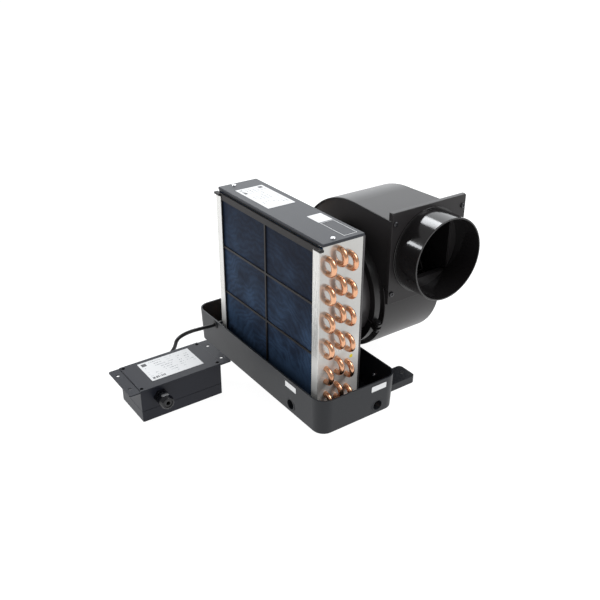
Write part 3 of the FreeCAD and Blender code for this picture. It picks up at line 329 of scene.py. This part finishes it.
def makeCopper():
    s = copperSettings
    f = Finish("copperTube", 1.0)
    patches = f.noise(*s["patches"])
    tube = f.mixed(patches, s["clean"], s["dull"])
    browned = (patches > s["oxideFrom"]) * s["oxideStrength"]
    base, byPatches = s["roughness"]
    f.put("Base Color", f.mixed(browned, tube, s["oxide"]))
    f.put("Roughness", base + patches * byPatches)
    f.bump(f.noise(*s["streak"]), s["depth"], s["strength"])
    looks["copperTube"] = f.material


# Turned and rolled metals of one colour. Roughness is a base, and what the scuffs add to it

turnedSettings = {
    "turnedBrass": {"colour": (0.82, 0.60, 0.27), "metallic": 1.0, "scuff": (700.0, 2.0),
                    "roughness": (0.20, 0.12), "depth": 0.03 * mm, "strength": 0.5, "edge": 0.3 * mm},
    "brightSteel": {"colour": (0.80, 0.80, 0.82), "metallic": 1.0, "scuff": (500.0, 3.0),
                    "roughness": (0.16, 0.16), "depth": 0.03 * mm, "strength": 0.4, "edge": 0.2 * mm},
    "darkSteel": {"colour": (0.06, 0.06, 0.064), "metallic": 0.7, "scuff": (600.0, 3.0),
                  "roughness": (0.14, 0.14), "depth": 0.03 * mm, "strength": 0.4, "edge": 0.2 * mm},
}


def makeTurned(name):
    s = turnedSettings[name]
    f = Finish(name, s["metallic"])
    scuff = f.noise(*s["scuff"])
    base, byScuff = s["roughness"]
    f.put("Base Color", opaque(s["colour"]))
    f.put("Roughness", base + scuff * byScuff)
    f.bump(scuff, s["depth"], s["strength"], f.edges(s["edge"]))
    looks[name] = f.material


# Fine navy net over blue fins: the two together show drifting rings, paler towards the foot.
# The shares are how much rings, fine bands and drift each add to the glow

netSettings = {
    "dark": (0.0055, 0.0065, 0.013),
    "glow": (0.030, 0.056, 0.106),
    "rings": {"Scale": 26.0, "Distortion": 14.0, "Detail": 2.0, "Detail Scale": 0.9},
    "fine": {"Scale": 110.0, "Distortion": 26.0, "Detail": 3.0, "Detail Scale": 1.8},
    "drift": (13.0, 6.0, 0.62),
    "shares": (0.12, 0.15, 1.26),
    "footGlow": 1.35,
    "fading": 2.2,
    "specular": 0.07,
    "roughness": (0.55, 0.15),
    "threads": 250.0,
    "threadDepth": 0.2 * mm,
    "threadStrength": 0.5,
}


def makeFilterNet():
    s = netSettings
    f = Finish("filterNet", specular=s["specular"])
    drift = f.noise(*s["drift"])
    rings = f.wave({"wave_type": "RINGS", "rings_direction": "Y", "wave_profile": "SIN"}, s["rings"])
    fine = f.wave({"wave_type": "BANDS", "bands_direction": "DIAGONAL"}, s["fine"])
    ringShare, fineShare, driftShare = s["shares"]
    base, byFine = s["roughness"]
    low = s["footGlow"] - f.part(2) * s["fading"]
    glow = (rings * ringShare + fine * fineShare + drift * driftShare) * low
    f.put("Base Color", f.mixed(glow * glow * glow, s["dark"], s["glow"]))
    f.put("Roughness", base + fine * byFine)
    warp = f.wave({"bands_direction": "X"}, {"Scale": s["threads"]})
    weft = f.wave({"bands_direction": "Z"}, {"Scale": s["threads"]})
    f.bump(warp * weft, s["threadDepth"], s["threadStrength"])
    looks["filterNet"] = f.material


# Blue lacquer on the fins

finMetalSettings = {
    "dark": (0.08, 0.19, 0.38),
    "light": (0.14, 0.28, 0.50),
    "shade": (30.0, 3.0),
    "metallic": 0.7,
    "roughness": (0.32, 0.14),
}


def makeFinMetal():
    s = finMetalSettings
    f = Finish("blueFins", s["metallic"])
    shade = f.noise(*s["shade"])
    base, byShade = s["roughness"]
    f.put("Base Color", f.mixed(shade, s["dark"], s["light"]))
    f.put("Roughness", base + shade * byShade)
    looks["blueFins"] = f.material


# White paper with broken grey rules, a plain dark block and a few bars where a maker would print.
# Text runs along one axis of the label, and down says which way its lines follow each other

printedLabels = {
    "coverRatingLabel": {"paper": "ratingPaper", "low": (-125 * mm, -35 * mm), "high": (-15 * mm, 22 * mm),
                         "textAxis": 0, "down": -1},
    "boxRatingLabel": {"paper": "boxPaper", "low": (-80 * mm, -276 * mm), "high": (-17 * mm, -176 * mm),
                       "textAxis": 1, "down": 1},
}

paperSettings = {
    "white": (0.74, 0.745, 0.75),
    "ruleInk": (0.26, 0.27, 0.29),
    "blockInk": (0.05, 0.05, 0.055),
    "margin": 4.5 * mm,
    "pitch": 7.0 * mm,
    "block": 9.0 * mm,
    "bars": (24.0 * mm, 6.0 * mm),
    "ruleStart": 0.72,
    "letterGap": 0.47,
    "phraseGap": 0.52,
    "lineSqueeze": 0.04,
    "letters": (850.0, 1.0, 0.5),
    "phrases": (60.0, 2.0, 0.6),
    "stripes": (500.0, 0.0, 0.5),
    "stripeFrom": 0.5,
    "fibre": (1500.0, 2.0),
    "roughness": (0.36, 0.12),
    "depth": 0.02 * mm,
    "strength": 0.3,
}


def makeLabelPaper(paper, low, high, textAxis, down):
    s = paperSettings
    f = Finish(paper)
    lineAxis = 1 - textAxis
    length = high[textAxis] - low[textAxis]
    height = high[lineAxis] - low[lineAxis]
    head = low[lineAxis] if down > 0 else high[lineAxis]
    along = f.part(textAxis) - low[textAxis]
    depth = (f.part(lineAxis) - head) * down
    row = f.node("ShaderNodeMath", {"operation": "FRACT"}, {0: depth / s["pitch"]})
    squeeze = [s["lineSqueeze"]] * 3
    squeeze[textAxis] = 1.0
    textWise = f.stretched(tuple(squeeze))
    halfWise = f.stretched(tuple((1 + value) / 2 for value in squeeze))
    fibre = f.noise(*s["fibre"])
    letters = f.noise(*s["letters"], textWise)
    phrases = f.noise(*s["phrases"], halfWise)
    stripes = f.noise(*s["stripes"], textWise) > s["stripeFrom"]
    margin = s["margin"]
    wide, tall = s["bars"]
    inside = (along > margin) * (along < length - margin) * (depth > margin) * (depth < height - margin)
    rules = (row > s["ruleStart"]) * (letters > s["letterGap"]) * (phrases > s["phraseGap"]) * inside
    block = inside * (along < margin + s["block"]) * (depth < margin + s["block"])
    bars = inside * stripes * (along < margin + wide) * (depth > height - margin - tall)
    ruled = f.mixed(rules, s["white"], s["ruleInk"])
    base, byFibre = s["roughness"]
    f.put("Base Color", f.mixed(f.larger(block, bars), ruled, s["blockInk"]))
    f.put("Roughness", base + fibre * byFibre)
    f.bump(fibre, s["depth"], s["strength"])
    looks[paper] = f.material


# Small parts: an even colour with a fine grain

plainSettings = {
    "blackRubber": {"colour": (0.016, 0.016, 0.017), "rough": 0.55},
    "blackFoam": {"colour": (0.02, 0.02, 0.02), "rough": 0.85, "scale": 900.0},
    "boxPlastic": {"colour": (0.0115, 0.013, 0.020), "rough": 0.38, "scale": 700.0, "specular": 0.22},
    "glandNylon": {"colour": (0.004, 0.004, 0.006), "rough": 0.22, "scale": 300.0, "specular": 0.40},
    "motorPaint": {"colour": (0.05, 0.05, 0.054), "rough": 0.38, "scale": 600.0},
    "cableJacket": {"colour": (0.010, 0.010, 0.011), "rough": 0.30, "scale": 500.0},
    "boardResin": {"colour": (0.03, 0.20, 0.09), "rough": 0.35, "scale": 200.0},
    "standoffNylon": {"colour": (0.78, 0.77, 0.72), "rough": 0.45, "scale": 300.0},
    "relayCase": {"colour": (0.04, 0.05, 0.10), "rough": 0.30, "scale": 300.0},
    "capacitorCase": {"colour": (0.70, 0.70, 0.69), "rough": 0.35, "scale": 300.0},
    "blankPaper": {"colour": (0.76, 0.765, 0.77), "rough": 0.42, "scale": 1500.0, "spread": 0.03},
    # Painted shade: the lid's screw heads are near-black and almost without gloss, for the shade down in
    # their pits
    "paintedShadeSteel": {"colour": (0.003, 0.003, 0.0035), "rough": 0.5, "scale": 500.0, "specular": 0.08},
    "yellowDot": {"colour": (0.85, 0.72, 0.05), "rough": 0.45},
}

# What they share: roughness starts a little lower, and the grain adds to it

grainSettings = {
    "roughness": (-0.05, 0.12),
    "depth": 0.04 * mm,
    "strength": 0.4,
    "edge": 0.3 * mm,
}


def makePlain(name, colour, rough, scale=400.0, spread=0.15, specular=0.5):
    s = grainSettings
    f = Finish(name, specular=specular)
    grain = f.noise(scale)
    darker = tuple(c * (1 - spread) for c in colour)
    lighter = tuple(c * (1 + spread) for c in colour)
    less, more = s["roughness"]
    f.put("Base Color", f.mixed(grain, darker, lighter))
    f.put("Roughness", rough + less + grain * more)
    f.bump(grain, s["depth"], s["strength"], f.edges(s["edge"]))
    looks[name] = f.material


def makeLooks():
    for name in satinSettings:
        makeSatin(name)
    for name, s in mouldedSettings.items():
        makeMoulded(name, **s)
    makeEndPlateMetal()
    makeCopper()
    for name in turnedSettings:
        makeTurned(name)
    makeFilterNet()
    makeFinMetal()
    for s in printedLabels.values():
        makeLabelPaper(**s)
    for name, s in plainSettings.items():
        makePlain(name, **s)


makeLooks()

nodeLooks = {
    "trayPlastic": ["drip_tray", "drain_bushes", "mounting_feet"],
    "blackRubber": ["cable_grommet", "gland_seals"],
    "brightSteel": ["coil_screws", "foot_nuts", "hub_set_screw", "motor_shaft", "motor_bearings"],
    "darkSteel": ["clamp_screw", "clamp_nut"],
    "endPlateMetal": ["end_plate_left", "end_plate_right"],
    "copperTube": ["hairpins_front_row", "hairpins_middle_row", "hairpins_rear_row", "return_bends",
                   "suction_header", "suction_line", "liquid_line", "capillary_tubes"],
    "turnedBrass": ["distributor", "flare_nuts", "flare_unions"],
    "coverPaint": ["top_cover"],
    "blackFoam": ["top_seal"],
    "filterFrame": ["filter_frame"],
    "filterNet": ["filter_mesh"],
    "blowerPlastic": ["scroll_rear_plate", "inlet_cone", "impeller_wheel", "fan_socket"],
    "scrollFrontPaintedLightPlastic": ["scroll_front_plate"],
    "shroudPaintedReflectionPlastic": ["rear_shroud"],
    "clampPlastic": ["swivel_clamp"],
    "wrapPlastic": ["scroll_wrap"],
    "collarPlastic": ["duct_collar"],
    "ductPlatePlastic": ["duct_plate"],
    "motorPaint": ["motor_can", "motor_end_cap"],
    "boxPlastic": ["control_box_body", "control_box_lid"],
    "glandNylon": ["gland_bodies", "gland_locknuts"],
    "cableJacket": ["cable_plug"],
    "boardResin": ["control_board"],
    "standoffNylon": ["board_standoffs"],
    "relayCase": ["fan_relays", "terminal_strip"],
    "capacitorCase": ["run_capacitor"],
}


def wear(piece, look):
    piece.data.materials.clear()
    piece.data.materials.append(looks[look])


for look, names in nodeLooks.items():
    for name in names:
        wear(nodes[name], look)
print("materials made:", len(looks))

# Modelling helpers


def clearSelection():
    bpy.ops.object.select_all(action="DESELECT")


def editEdges(piece, wanted):
    # Enters edit mode with the edges selected whose two ends pass the test
    bpy.ops.object.mode_set(mode="EDIT")
    bpy.ops.mesh.select_mode(type="EDGE")
    bpy.ops.mesh.select_all(action="DESELECT")
    mesh = bmesh.from_edit_mesh(piece.data)
    for edge in mesh.edges:
        edge.select = wanted(edge.verts[0].co, edge.verts[1].co)
    bmesh.update_edit_mesh(piece.data)


def editFaces(piece, wanted):
    bpy.ops.object.mode_set(mode="EDIT")
    bpy.ops.mesh.select_mode(type="FACE")
    bpy.ops.mesh.select_all(action="DESELECT")
    mesh = bmesh.from_edit_mesh(piece.data)
    for face in mesh.faces:
        face.select = wanted(face)
    bmesh.update_edit_mesh(piece.data)


def leaveEdit():
    bpy.ops.object.mode_set(mode="OBJECT")


def addBlock(name, low, high):
    # A box between two corners, with its place in its mesh
    clearSelection()
    low = Vector(low)
    high = Vector(high)
    bpy.ops.mesh.primitive_cube_add(size=1, location=(low + high) / 2)
    piece = bpy.context.object
    piece.name = name
    piece.scale = high - low
    bpy.ops.object.transform_apply(location=True, rotation=True, scale=True)
    return piece


def applyModifier(piece, kind, settings):
    clearSelection()
    piece.select_set(True)
    bpy.context.view_layer.objects.active = piece
    modifier = piece.modifiers.new(kind.lower(), kind)
    for name, value in settings.items():
        setattr(modifier, name, value)
    bpy.ops.object.modifier_apply(modifier=modifier.name)


def finishPiece(piece, look, body, angle=35):
    # Edges flatter than the angle are shaded smooth
    clearSelection()
    piece.select_set(True)
    bpy.context.view_layer.objects.active = piece
    bpy.ops.object.transform_apply(location=True, rotation=True, scale=True)
    bpy.ops.object.shade_smooth_by_angle(angle=math.radians(angle))
    wear(piece, look)
    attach(piece, body)


def joinPieces(name, pieces):
    clearSelection()
    for piece in pieces:
        piece.select_set(True)
    bpy.context.view_layer.objects.active = pieces[0]
    bpy.ops.object.join()
    joined = bpy.context.object
    joined.name = name
    return joined


def placeCopy(master, place, axis):
    # A copy of a master that stands on +Z at the origin, moved to a place and turned to an axis
    mesh = master.data.copy()
    turn = Vector((0, 0, 1)).rotation_difference(Vector(axis)).to_matrix().to_4x4()
    mesh.transform(Matrix.Translation(Vector(place)) @ turn)
    copy = bpy.data.objects.new(master.name + "Copy", mesh)
    bpy.context.scene.collection.objects.link(copy)
    return copy


def dropMaster(master):
    bpy.data.objects.remove(master)


# Control cable, from its gland through the tray's wall and along the coil to the fan socket

cableSettings = {
    "radius": 3.7 * mm,
    "length": 0.4375,
    "exit": (-0.11525, -0.214, 0.028),
}

cableRoute = [
    (-0.11525, -0.214, 0.028),
    (-0.127, -0.214, 0.026),
    (-0.138, -0.211, 0.020),
    (-0.146, -0.202, 0.0145),
    (-0.151, -0.190, 0.0115),
    (-0.1525, -0.179, 0.0145),
    (-0.150, -0.171, 0.0245),
    (-0.1475, -0.1675, 0.0345),
    (-0.146, -0.166, 0.0435),
    (-0.1435, -0.160, 0.0515),
    (-0.140, -0.148, 0.0575),
    (-0.137, -0.133, 0.0605),
    (-0.136, -0.116, 0.060),
    (-0.136, -0.09761, 0.059),
    (-0.136, -0.07361, 0.059),
    (-0.143, -0.0665, 0.0555),
    (-0.156, -0.065, 0.047),
    (-0.172, -0.0645, 0.036),
    (-0.187, -0.057, 0.026),
    (-0.197, -0.041, 0.017),
    (-0.2005, -0.019, 0.011),
    (-0.2005, 0.006, 0.009),
    (-0.1975, 0.030, 0.011),
    (-0.189, 0.050, 0.017),
    (-0.174, 0.063, 0.027),
    (-0.158, 0.066, 0.040),
    (-0.150, 0.062, 0.050),
    (-0.150, 0.051, 0.050),
]


def makeCable():
    curve = bpy.data.curves.new("controlCable", "CURVE")
    curve.dimensions = "3D"
    curve.bevel_depth = cableSettings["radius"]
    curve.bevel_resolution = 5
    curve.resolution_u = 10
    curve.use_fill_caps = True
    spline = curve.splines.new("NURBS")
    spline.points.add(len(cableRoute) - 1)
    for point, place in zip(spline.points, cableRoute):
        point.co = (*place, 1)
    spline.order_u = 3
    spline.use_endpoint_u = True
    cable = bpy.data.objects.new("controlCable", curve)
    bpy.context.scene.collection.objects.link(cable)
    wear(cable, "cableJacket")
    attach(cable, "root")
    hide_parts("control_cable")


makeCable()
print("cable laid")

# Screws: round heads with a crossed recess

screwSettings = {
    "cover": {"radius": 4.4 * mm, "height": 2.2 * mm, "round": 0.80, "recess": 1.7 * mm},
    "pan": {"radius": 4.9 * mm, "height": 3.0 * mm, "round": 0.64, "recess": 2.6 * mm},
    "lid": {"radius": 3.2 * mm, "height": 1.2 * mm, "round": 0.24, "recess": 1.8 * mm},
    "small": {"radius": 3.8 * mm, "height": 2.3 * mm, "round": 0.48, "recess": 2.2 * mm},
}

recessSettings = {
    "slit": 0.22,
    "floor": 0.45,
}


def makeScrewMaster(kind):
    # The recess is a cross of two slots: slit is a share of its arm, and floor a share of the height
    s = screwSettings[kind]
    height = s["height"]
    clearSelection()
    bpy.ops.mesh.primitive_cylinder_add(vertices=28, radius=s["radius"], depth=height,
                                        location=(0, 0, height / 2))
    head = bpy.context.object
    head.name = kind + "Screw"
    bpy.ops.object.transform_apply(location=True, rotation=True, scale=True)
    top = height - 1e-6
    editEdges(head, lambda a, b: a.z > top and b.z > top)
    bpy.ops.mesh.bevel(offset=height * s["round"], segments=4)
    leaveEdit()
    arm = s["recess"]
    slit = arm * recessSettings["slit"]
    floor = height * recessSettings["floor"]
    for wide, deep in ((arm, slit), (slit, arm)):
        cut = addBlock("slot", (-wide, -deep, floor), (wide, deep, height * 2))
        applyModifier(head, "BOOLEAN", {"operation": "DIFFERENCE", "solver": "EXACT", "object": cut})
        dropMaster(cut)
    return head


def setScrews(name, kind, look, body, node, places):
    master = makeScrewMaster(kind)
    copies = [placeCopy(master, place, axis) for place, axis in places]
    dropMaster(master)
    screws = joinPieces(name, copies)
    finishPiece(screws, look, body, 30)
    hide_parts(node)


# Where the heads sit. Duct plate and lid count from their own middle, the foot's screws in from the end
# of their shanks, and the rest from the origin. Turns are in degrees

screwPlaces = {
    "coverX": 151 * mm,
    "coverY": -21.8 * mm,
    "plateY": 79 * mm,
    "plateZ": 66 * mm,
    "lidX": 38 * mm,
    "lidY": 73.5 * mm,
    "lidDepth": 2.2 * mm,
    "footX": 151.5 * mm,
    "footIn": 2.6 * mm,
    "footZ": 35 * mm,
    "shroudX": 153.5 * mm,
    "shroudY": 37 * mm,
    "shroudZ": (35 * mm, 166.15 * mm, 297.3 * mm),
    "motorX": 23 * mm,
    "motorY": 243.5 * mm,
    "motorZ": 163.4 * mm,
    "motorRadius": 54 * mm,
    "motorTurns": (105, 225, 345),
}

at = screwPlaces
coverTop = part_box("top_cover")[1].z
setScrews("coverScrews", "cover", "brightSteel", "root", "cover_screws",
          [((side * at["coverX"], at["coverY"], coverTop), (0, 0, 1)) for side in (-1, 1)])

ductLow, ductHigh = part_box("duct_plate")
ductMiddle = (ductLow + ductHigh) / 2
setScrews("ductPlateScrews", "pan", "darkSteel", "blower", "duct_plate_screws",
          [((ductHigh.x, ductMiddle.y + sy * at["plateY"], ductMiddle.z + sz * at["plateZ"]), (1, 0, 0))
           for sy in (-1, 1) for sz in (-1, 1)])

lidLow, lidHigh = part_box("control_box_lid")
lidTop = lidHigh.z
lidCentre = (lidLow + lidHigh) / 2
lidScrewZ = lidTop - at["lidDepth"]
# The lid's screw heads wear painted shade for their pits
setScrews("lidScrews", "lid", "paintedShadeSteel", "root", "lid_screws",
          [((lidCentre.x + sx * at["lidX"], lidCentre.y + sy * at["lidY"], lidScrewZ), (0, 0, 1))
           for sx in (-1, 1) for sy in (-1, 1)])

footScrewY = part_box("foot_screws")[0].y + at["footIn"]
setScrews("footScrews", "small", "brightSteel", "root", "foot_screws",
          [((side * at["footX"], footScrewY, at["footZ"]), (0, -1, 0)) for side in (-1, 1)])

setScrews("shroudScrews", "small", "darkSteel", "root", "shroud_screws",
          [((side * at["shroudX"], at["shroudY"], z), (0, 1, 0)) for side in (-1, 1) for z in at["shroudZ"]])

motorTurns = [math.radians(turn) for turn in at["motorTurns"]]
setScrews("motorScrews", "small", "brightSteel", "blower", "motor_screws",
          [((at["motorX"] + at["motorRadius"] * math.cos(turn), at["motorY"],
             at["motorZ"] + at["motorRadius"] * math.sin(turn)), (0, 1, 0)) for turn in motorTurns])
print("screws set")

# Labels, all blank or with plain rules

labelSettings = {
    "thickness": 0.25 * mm,
    "corner": 1.2 * mm,
}


def makeLabel(name, low, high, look, lean=(0, 0), hinge=None):
    # A thin plate with rounded corners, leaned about X and Y at a hinge where the wall is drafted
    size = Vector(high) - Vector(low)
    thin = min(range(3), key=lambda axis: size[axis])
    plate = addBlock(name, low, high)
    editEdges(plate, lambda a, b: abs(a[thin] - b[thin]) > size[thin] * 0.9)
    bpy.ops.mesh.bevel(offset=labelSettings["corner"], segments=4)
    leaveEdit()
    if hinge:
        turn = Matrix.Rotation(lean[0], 4, "X") @ Matrix.Rotation(lean[1], 4, "Y")
        plate.data.transform(Matrix.Translation(hinge) @ turn @ Matrix.Translation(-Vector(hinge)))
    finishPiece(plate, look, "root")


def makeOutline(name, low, high, width, look):
    # An empty rectangular line, as thick as a label
    thickness = labelSettings["thickness"]
    centre = ((low[0] + high[0]) / 2, (low[1] + high[1]) / 2, low[2] + thickness)
    clearSelection()
    bpy.ops.mesh.primitive_plane_add(size=1, location=centre)
    outline = bpy.context.object
    outline.name = name
    outline.scale = (high[0] - low[0], high[1] - low[1], 1)
    bpy.ops.object.transform_apply(location=True, rotation=True, scale=True)
    bpy.ops.object.mode_set(mode="EDIT")
    bpy.ops.mesh.select_all(action="SELECT")
    bpy.ops.mesh.inset(thickness=width)
    bpy.ops.mesh.delete(type="FACE")
    leaveEdit()
    applyModifier(outline, "SOLIDIFY", {"thickness": thickness, "offset": -1})
    finishPiece(outline, look, "root")


def makePrintedLabel(name, bottom):
    s = printedLabels[name]
    makeLabel(name, (*s["low"], bottom), (*s["high"], bottom + labelSettings["thickness"]), s["paper"])


badgeSettings = {
    "block": ((52 * mm, -2 * mm), (86 * mm, 27 * mm)),
    "outline": ((88.5 * mm, -1 * mm), (152.5 * mm, 26 * mm)),
    "line": 0.9 * mm,
}


def makeCoverBadge():
    # A bare white block beside an empty outlined field
    s = badgeSettings
    top = coverTop + labelSettings["thickness"]
    low, high = s["block"]
    makeLabel("coverBadgeBlock", (*low, coverTop), (*high, top), "blankPaper")
    low, high = s["outline"]
    makeOutline("coverBadgeOutline", (*low, coverTop), (*high, top), s["line"], "blankPaper")


drainLabelSettings = {
    "wallTop": 68.5 * mm,
    "wallDraft": 2.8 * mm,
    "halfDepth": 85 * mm,
    "halfWidth": 211 * mm,
    "low": 50 * mm,
    "high": 61 * mm,
    "front": (107 * mm, 139 * mm),
    "right": (24 * mm, 56.5 * mm),
}


def makeDrainLabels():
    # One blank label over each drain, leaned as the tray's drafted walls are
    s = drainLabelSettings
    thin = labelSettings["thickness"]
    low = s["low"]
    high = s["high"]
    middle = (low + high) / 2
    draft = math.atan(s["wallDraft"] / s["wallTop"])
    inset = s["wallDraft"] * (1 - middle / s["wallTop"])
    wall = inset - s["halfDepth"]
    start, end = s["front"]
    makeLabel("frontDrainLabel", (start, wall - thin, low), (end, wall, high), "blankPaper",
              (draft, 0), (start, wall, middle))
    wall = s["halfWidth"] - inset
    start, end = s["right"]
    makeLabel("rightDrainLabel", (wall, start, low), (wall + thin, end, high), "blankPaper",
              (0, draft), (wall, start, middle))


makePrintedLabel("coverRatingLabel", coverTop)
makeCoverBadge()
makePrintedLabel("boxRatingLabel", lidTop)
makeDrainLabels()
print("labels laid")

dotSettings = {
    "radius": 3.4 * mm,
    "y": 15.9 * mm,
    "z": 102.7 * mm,
}


def makeInspectionDot():
    s = dotSettings
    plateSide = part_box("end_plate_right")[1].x
    thin = labelSettings["thickness"]
    clearSelection()
    bpy.ops.mesh.primitive_cylinder_add(vertices=24, radius=s["radius"], depth=thin,
                                        location=(plateSide + thin / 2, s["y"], s["z"]),
                                        rotation=(0, math.pi / 2, 0))
    dot = bpy.context.object
    dot.name = "inspectionDot"
    finishPiece(dot, "yellowDot", "root")


makeInspectionDot()

# Fins of the coil, on a core that closes the view between them

finSettings = {
    "pitch": 2.1 * mm,
    "sheet": 0.35 * mm,
    "proud": 2.0 * mm,
    "coreEnd": 1.0 * mm,
}


def makeFinStack():
    s = finSettings
    low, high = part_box("fin_pack")
    fin = addBlock("finStack", low, (low.x + s["sheet"], high.y, high.z))
    applyModifier(fin, "ARRAY", {
        "use_relative_offset": False, "use_constant_offset": True,
        "constant_offset_displace": (s["pitch"], 0, 0), "count": int((high.x - low.x) / s["pitch"]),
    })
    inset = Vector((s["coreEnd"], s["proud"], s["proud"]))
    core = addBlock("finCore", low + inset, high - inset)
    stack = joinPieces("finStack", [fin, core])
    finishPiece(stack, "blueFins", "root")
    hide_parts("fin_pack")


makeFinStack()
print("fins stacked")

# Gland nuts: one free, one on the cable. Heights count from the box's wall, which is a distance from the
# middle of the lid, and each nut's place is its Y and Z

glandSettings = {
    "flats": 12.0 * mm,
    "start": 9 * mm,
    "grip": 13 * mm,
    "corner": 1.6 * mm,
    "chamfer": 0.7 * mm,
    "reach": 29 * mm,
    "waist": 12.7 * mm,
    "end": 10.6 * mm,
    "lip": 1.5 * mm,
    "mouth": 7.6 * mm,
    "mouthDepth": 2.5 * mm,
    "throat": 4.6 * mm,
    "throatDepth": 9 * mm,
    "claws": 9,
    "clawWidth": 3.4 * mm,
    "clawFrom": 0.3 * mm,
    "clawTo": 0.4 * mm,
    "clawDeep": 2.6 * mm,
    "clawHigh": 1.4 * mm,
    "wall": 43.25 * mm,
    "free": (-270 * mm, 41 * mm),
    "cabled": (-214 * mm, 28 * mm),
}


def makeGlandGrip():
    # The hexagon, with rounded corners and chamfered ends
    s = glandSettings
    clearSelection()
    bpy.ops.mesh.primitive_cylinder_add(vertices=6, radius=s["flats"] / math.cos(math.pi / 6),
                                        depth=s["grip"], location=(0, 0, s["start"] + s["grip"] / 2))
    grip = bpy.context.object
    bpy.ops.object.transform_apply(location=True, rotation=True, scale=True)
    editEdges(grip, lambda a, b: abs(a.z - b.z) > s["grip"] * 0.9)
    bpy.ops.mesh.bevel(offset=s["corner"], segments=4)
    leaveEdit()
    editEdges(grip, lambda a, b: abs(a.z - b.z) < 1e-6)
    bpy.ops.mesh.bevel(offset=s["chamfer"], segments=3)
    leaveEdit()
    return grip


def makeGlandNose():
    # The round nose, with a rounded lip, a mouth and a throat
    s = glandSettings
    reach = s["reach"]
    shoulder = s["start"] + s["grip"]
    clearSelection()
    bpy.ops.mesh.primitive_cone_add(vertices=48, radius1=s["waist"], radius2=s["end"],
                                    depth=reach - shoulder, location=(0, 0, (reach + shoulder) / 2))
    nose = bpy.context.object
    bpy.ops.object.transform_apply(location=True, rotation=True, scale=True)
    tip = reach - 1e-6
    editEdges(nose, lambda a, b: a.z > tip and b.z > tip)
    bpy.ops.mesh.bevel(offset=s["lip"], segments=5)
    leaveEdit()
    editFaces(nose, lambda face: face.normal.z > 0.99 and face.calc_center_median().z > tip)
    bpy.ops.mesh.inset(thickness=s["end"] - s["lip"] - s["mouth"])
    bpy.ops.mesh.extrude_region_move(TRANSFORM_OT_translate={"value": (0, 0, -s["mouthDepth"])})
    bpy.ops.mesh.inset(thickness=s["mouth"] - s["throat"])
    bpy.ops.mesh.extrude_region_move(TRANSFORM_OT_translate={"value": (0, 0, -s["throatDepth"])})
    leaveEdit()
    return nose


def makeGlandNut():
    # A hexagon and a nose whose mouth shows the sealing claws
    s = glandSettings
    half = s["clawWidth"] / 2
    pieces = [makeGlandGrip(), makeGlandNose()]
    for k in range(s["claws"]):
        claw = addBlock("claw", (s["throat"] + s["clawFrom"], -half, s["reach"] - s["clawDeep"]),
                        (s["mouth"] - s["clawTo"], half, s["reach"] - s["clawHigh"]))
        claw.data.transform(Matrix.Rotation(2 * math.pi * k / s["claws"], 4, "Z"))
        pieces.append(claw)
    return joinPieces("glandNut", pieces)


def setGlandNuts():
    s = glandSettings
    master = makeGlandNut()
    copies = [placeCopy(master, (lidCentre.x + s["wall"], *s["free"]), (1, 0, 0)),
              placeCopy(master, (lidCentre.x - s["wall"], *s["cabled"]), (-1, 0, 0))]
    dropMaster(master)
    nuts = joinPieces("glandNuts", copies)
    finishPiece(nuts, "glandNylon", "root", 40)
    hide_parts("gland_nuts")


setGlandNuts()
print("glands fitted")

# Floor and light: each lamp has a place, the point that it faces, its two sides and its watts

studio = {
    "floorSize": 40,
    "floorDepth": 0.5 * mm,
    "floor": 0.25,
    "glow": 0.93,
    "world": 0.44,
    "lightColour": (0.95, 0.975, 1.0),
    "lights": [
        ("backBox", (-1.75, 1.30, 1.25), (0.0, 0.05, 0.20), (2.4, 2.4), 31.0),
        ("highBox", (-1.27, 0.54, 1.91), (0.17, 0.17, 0.32), (0.74, 0.30), 8.5),
        ("leftBox", (-1.27, -1.07, 0.81), (0.17, 0.20, 0.25), (0.5, 0.56), 14.5),
        ("rightBox", (1.05, 1.15, 1.90), (0.16, 0.0, 0.20), (1.3, 1.3), 30.0),
    ],
}


def makeFloor():
    clearSelection()
    bpy.ops.mesh.primitive_plane_add(size=studio["floorSize"], location=(0, 0, -studio["floorDepth"]))
    floor = bpy.context.object
    floor.name = "paleFloor"
    f = Finish("paleFloor", specular=0.1)
    f.put("Base Color", opaque([studio["floor"]] * 3))
    f.put("Roughness", 0.9)
    f.put("Emission Color", opaque((1, 1, 1)))
    f.put("Emission Strength", studio["glow"])
    floor.data.materials.append(f.material)


def makeLight(name, place, aim, sides, power):
    data = bpy.data.lights.new(name, "AREA")
    data.shape = "RECTANGLE"
    data.size, data.size_y = sides
    data.color = studio["lightColour"]
    data.energy = power
    lamp = bpy.data.objects.new(name, data)
    bpy.context.scene.collection.objects.link(lamp)
    lamp.location = place
    lamp.visible_camera = False
    lamp.rotation_euler = (Vector(aim) - Vector(place)).to_track_quat("-Z", "Y").to_euler()


def makeWorld():
    world = bpy.data.worlds.new("studioWorld")
    world.use_nodes = True
    background = world.node_tree.nodes["Background"]
    background.inputs["Color"].default_value = (1, 1, 1, 1)
    background.inputs["Strength"].default_value = studio["world"]
    bpy.context.scene.world = world
    bpy.context.scene.view_settings.view_transform = "Standard"


makeFloor()
for light in studio["lights"]:
    makeLight(*light)
makeWorld()
print("studio lit")
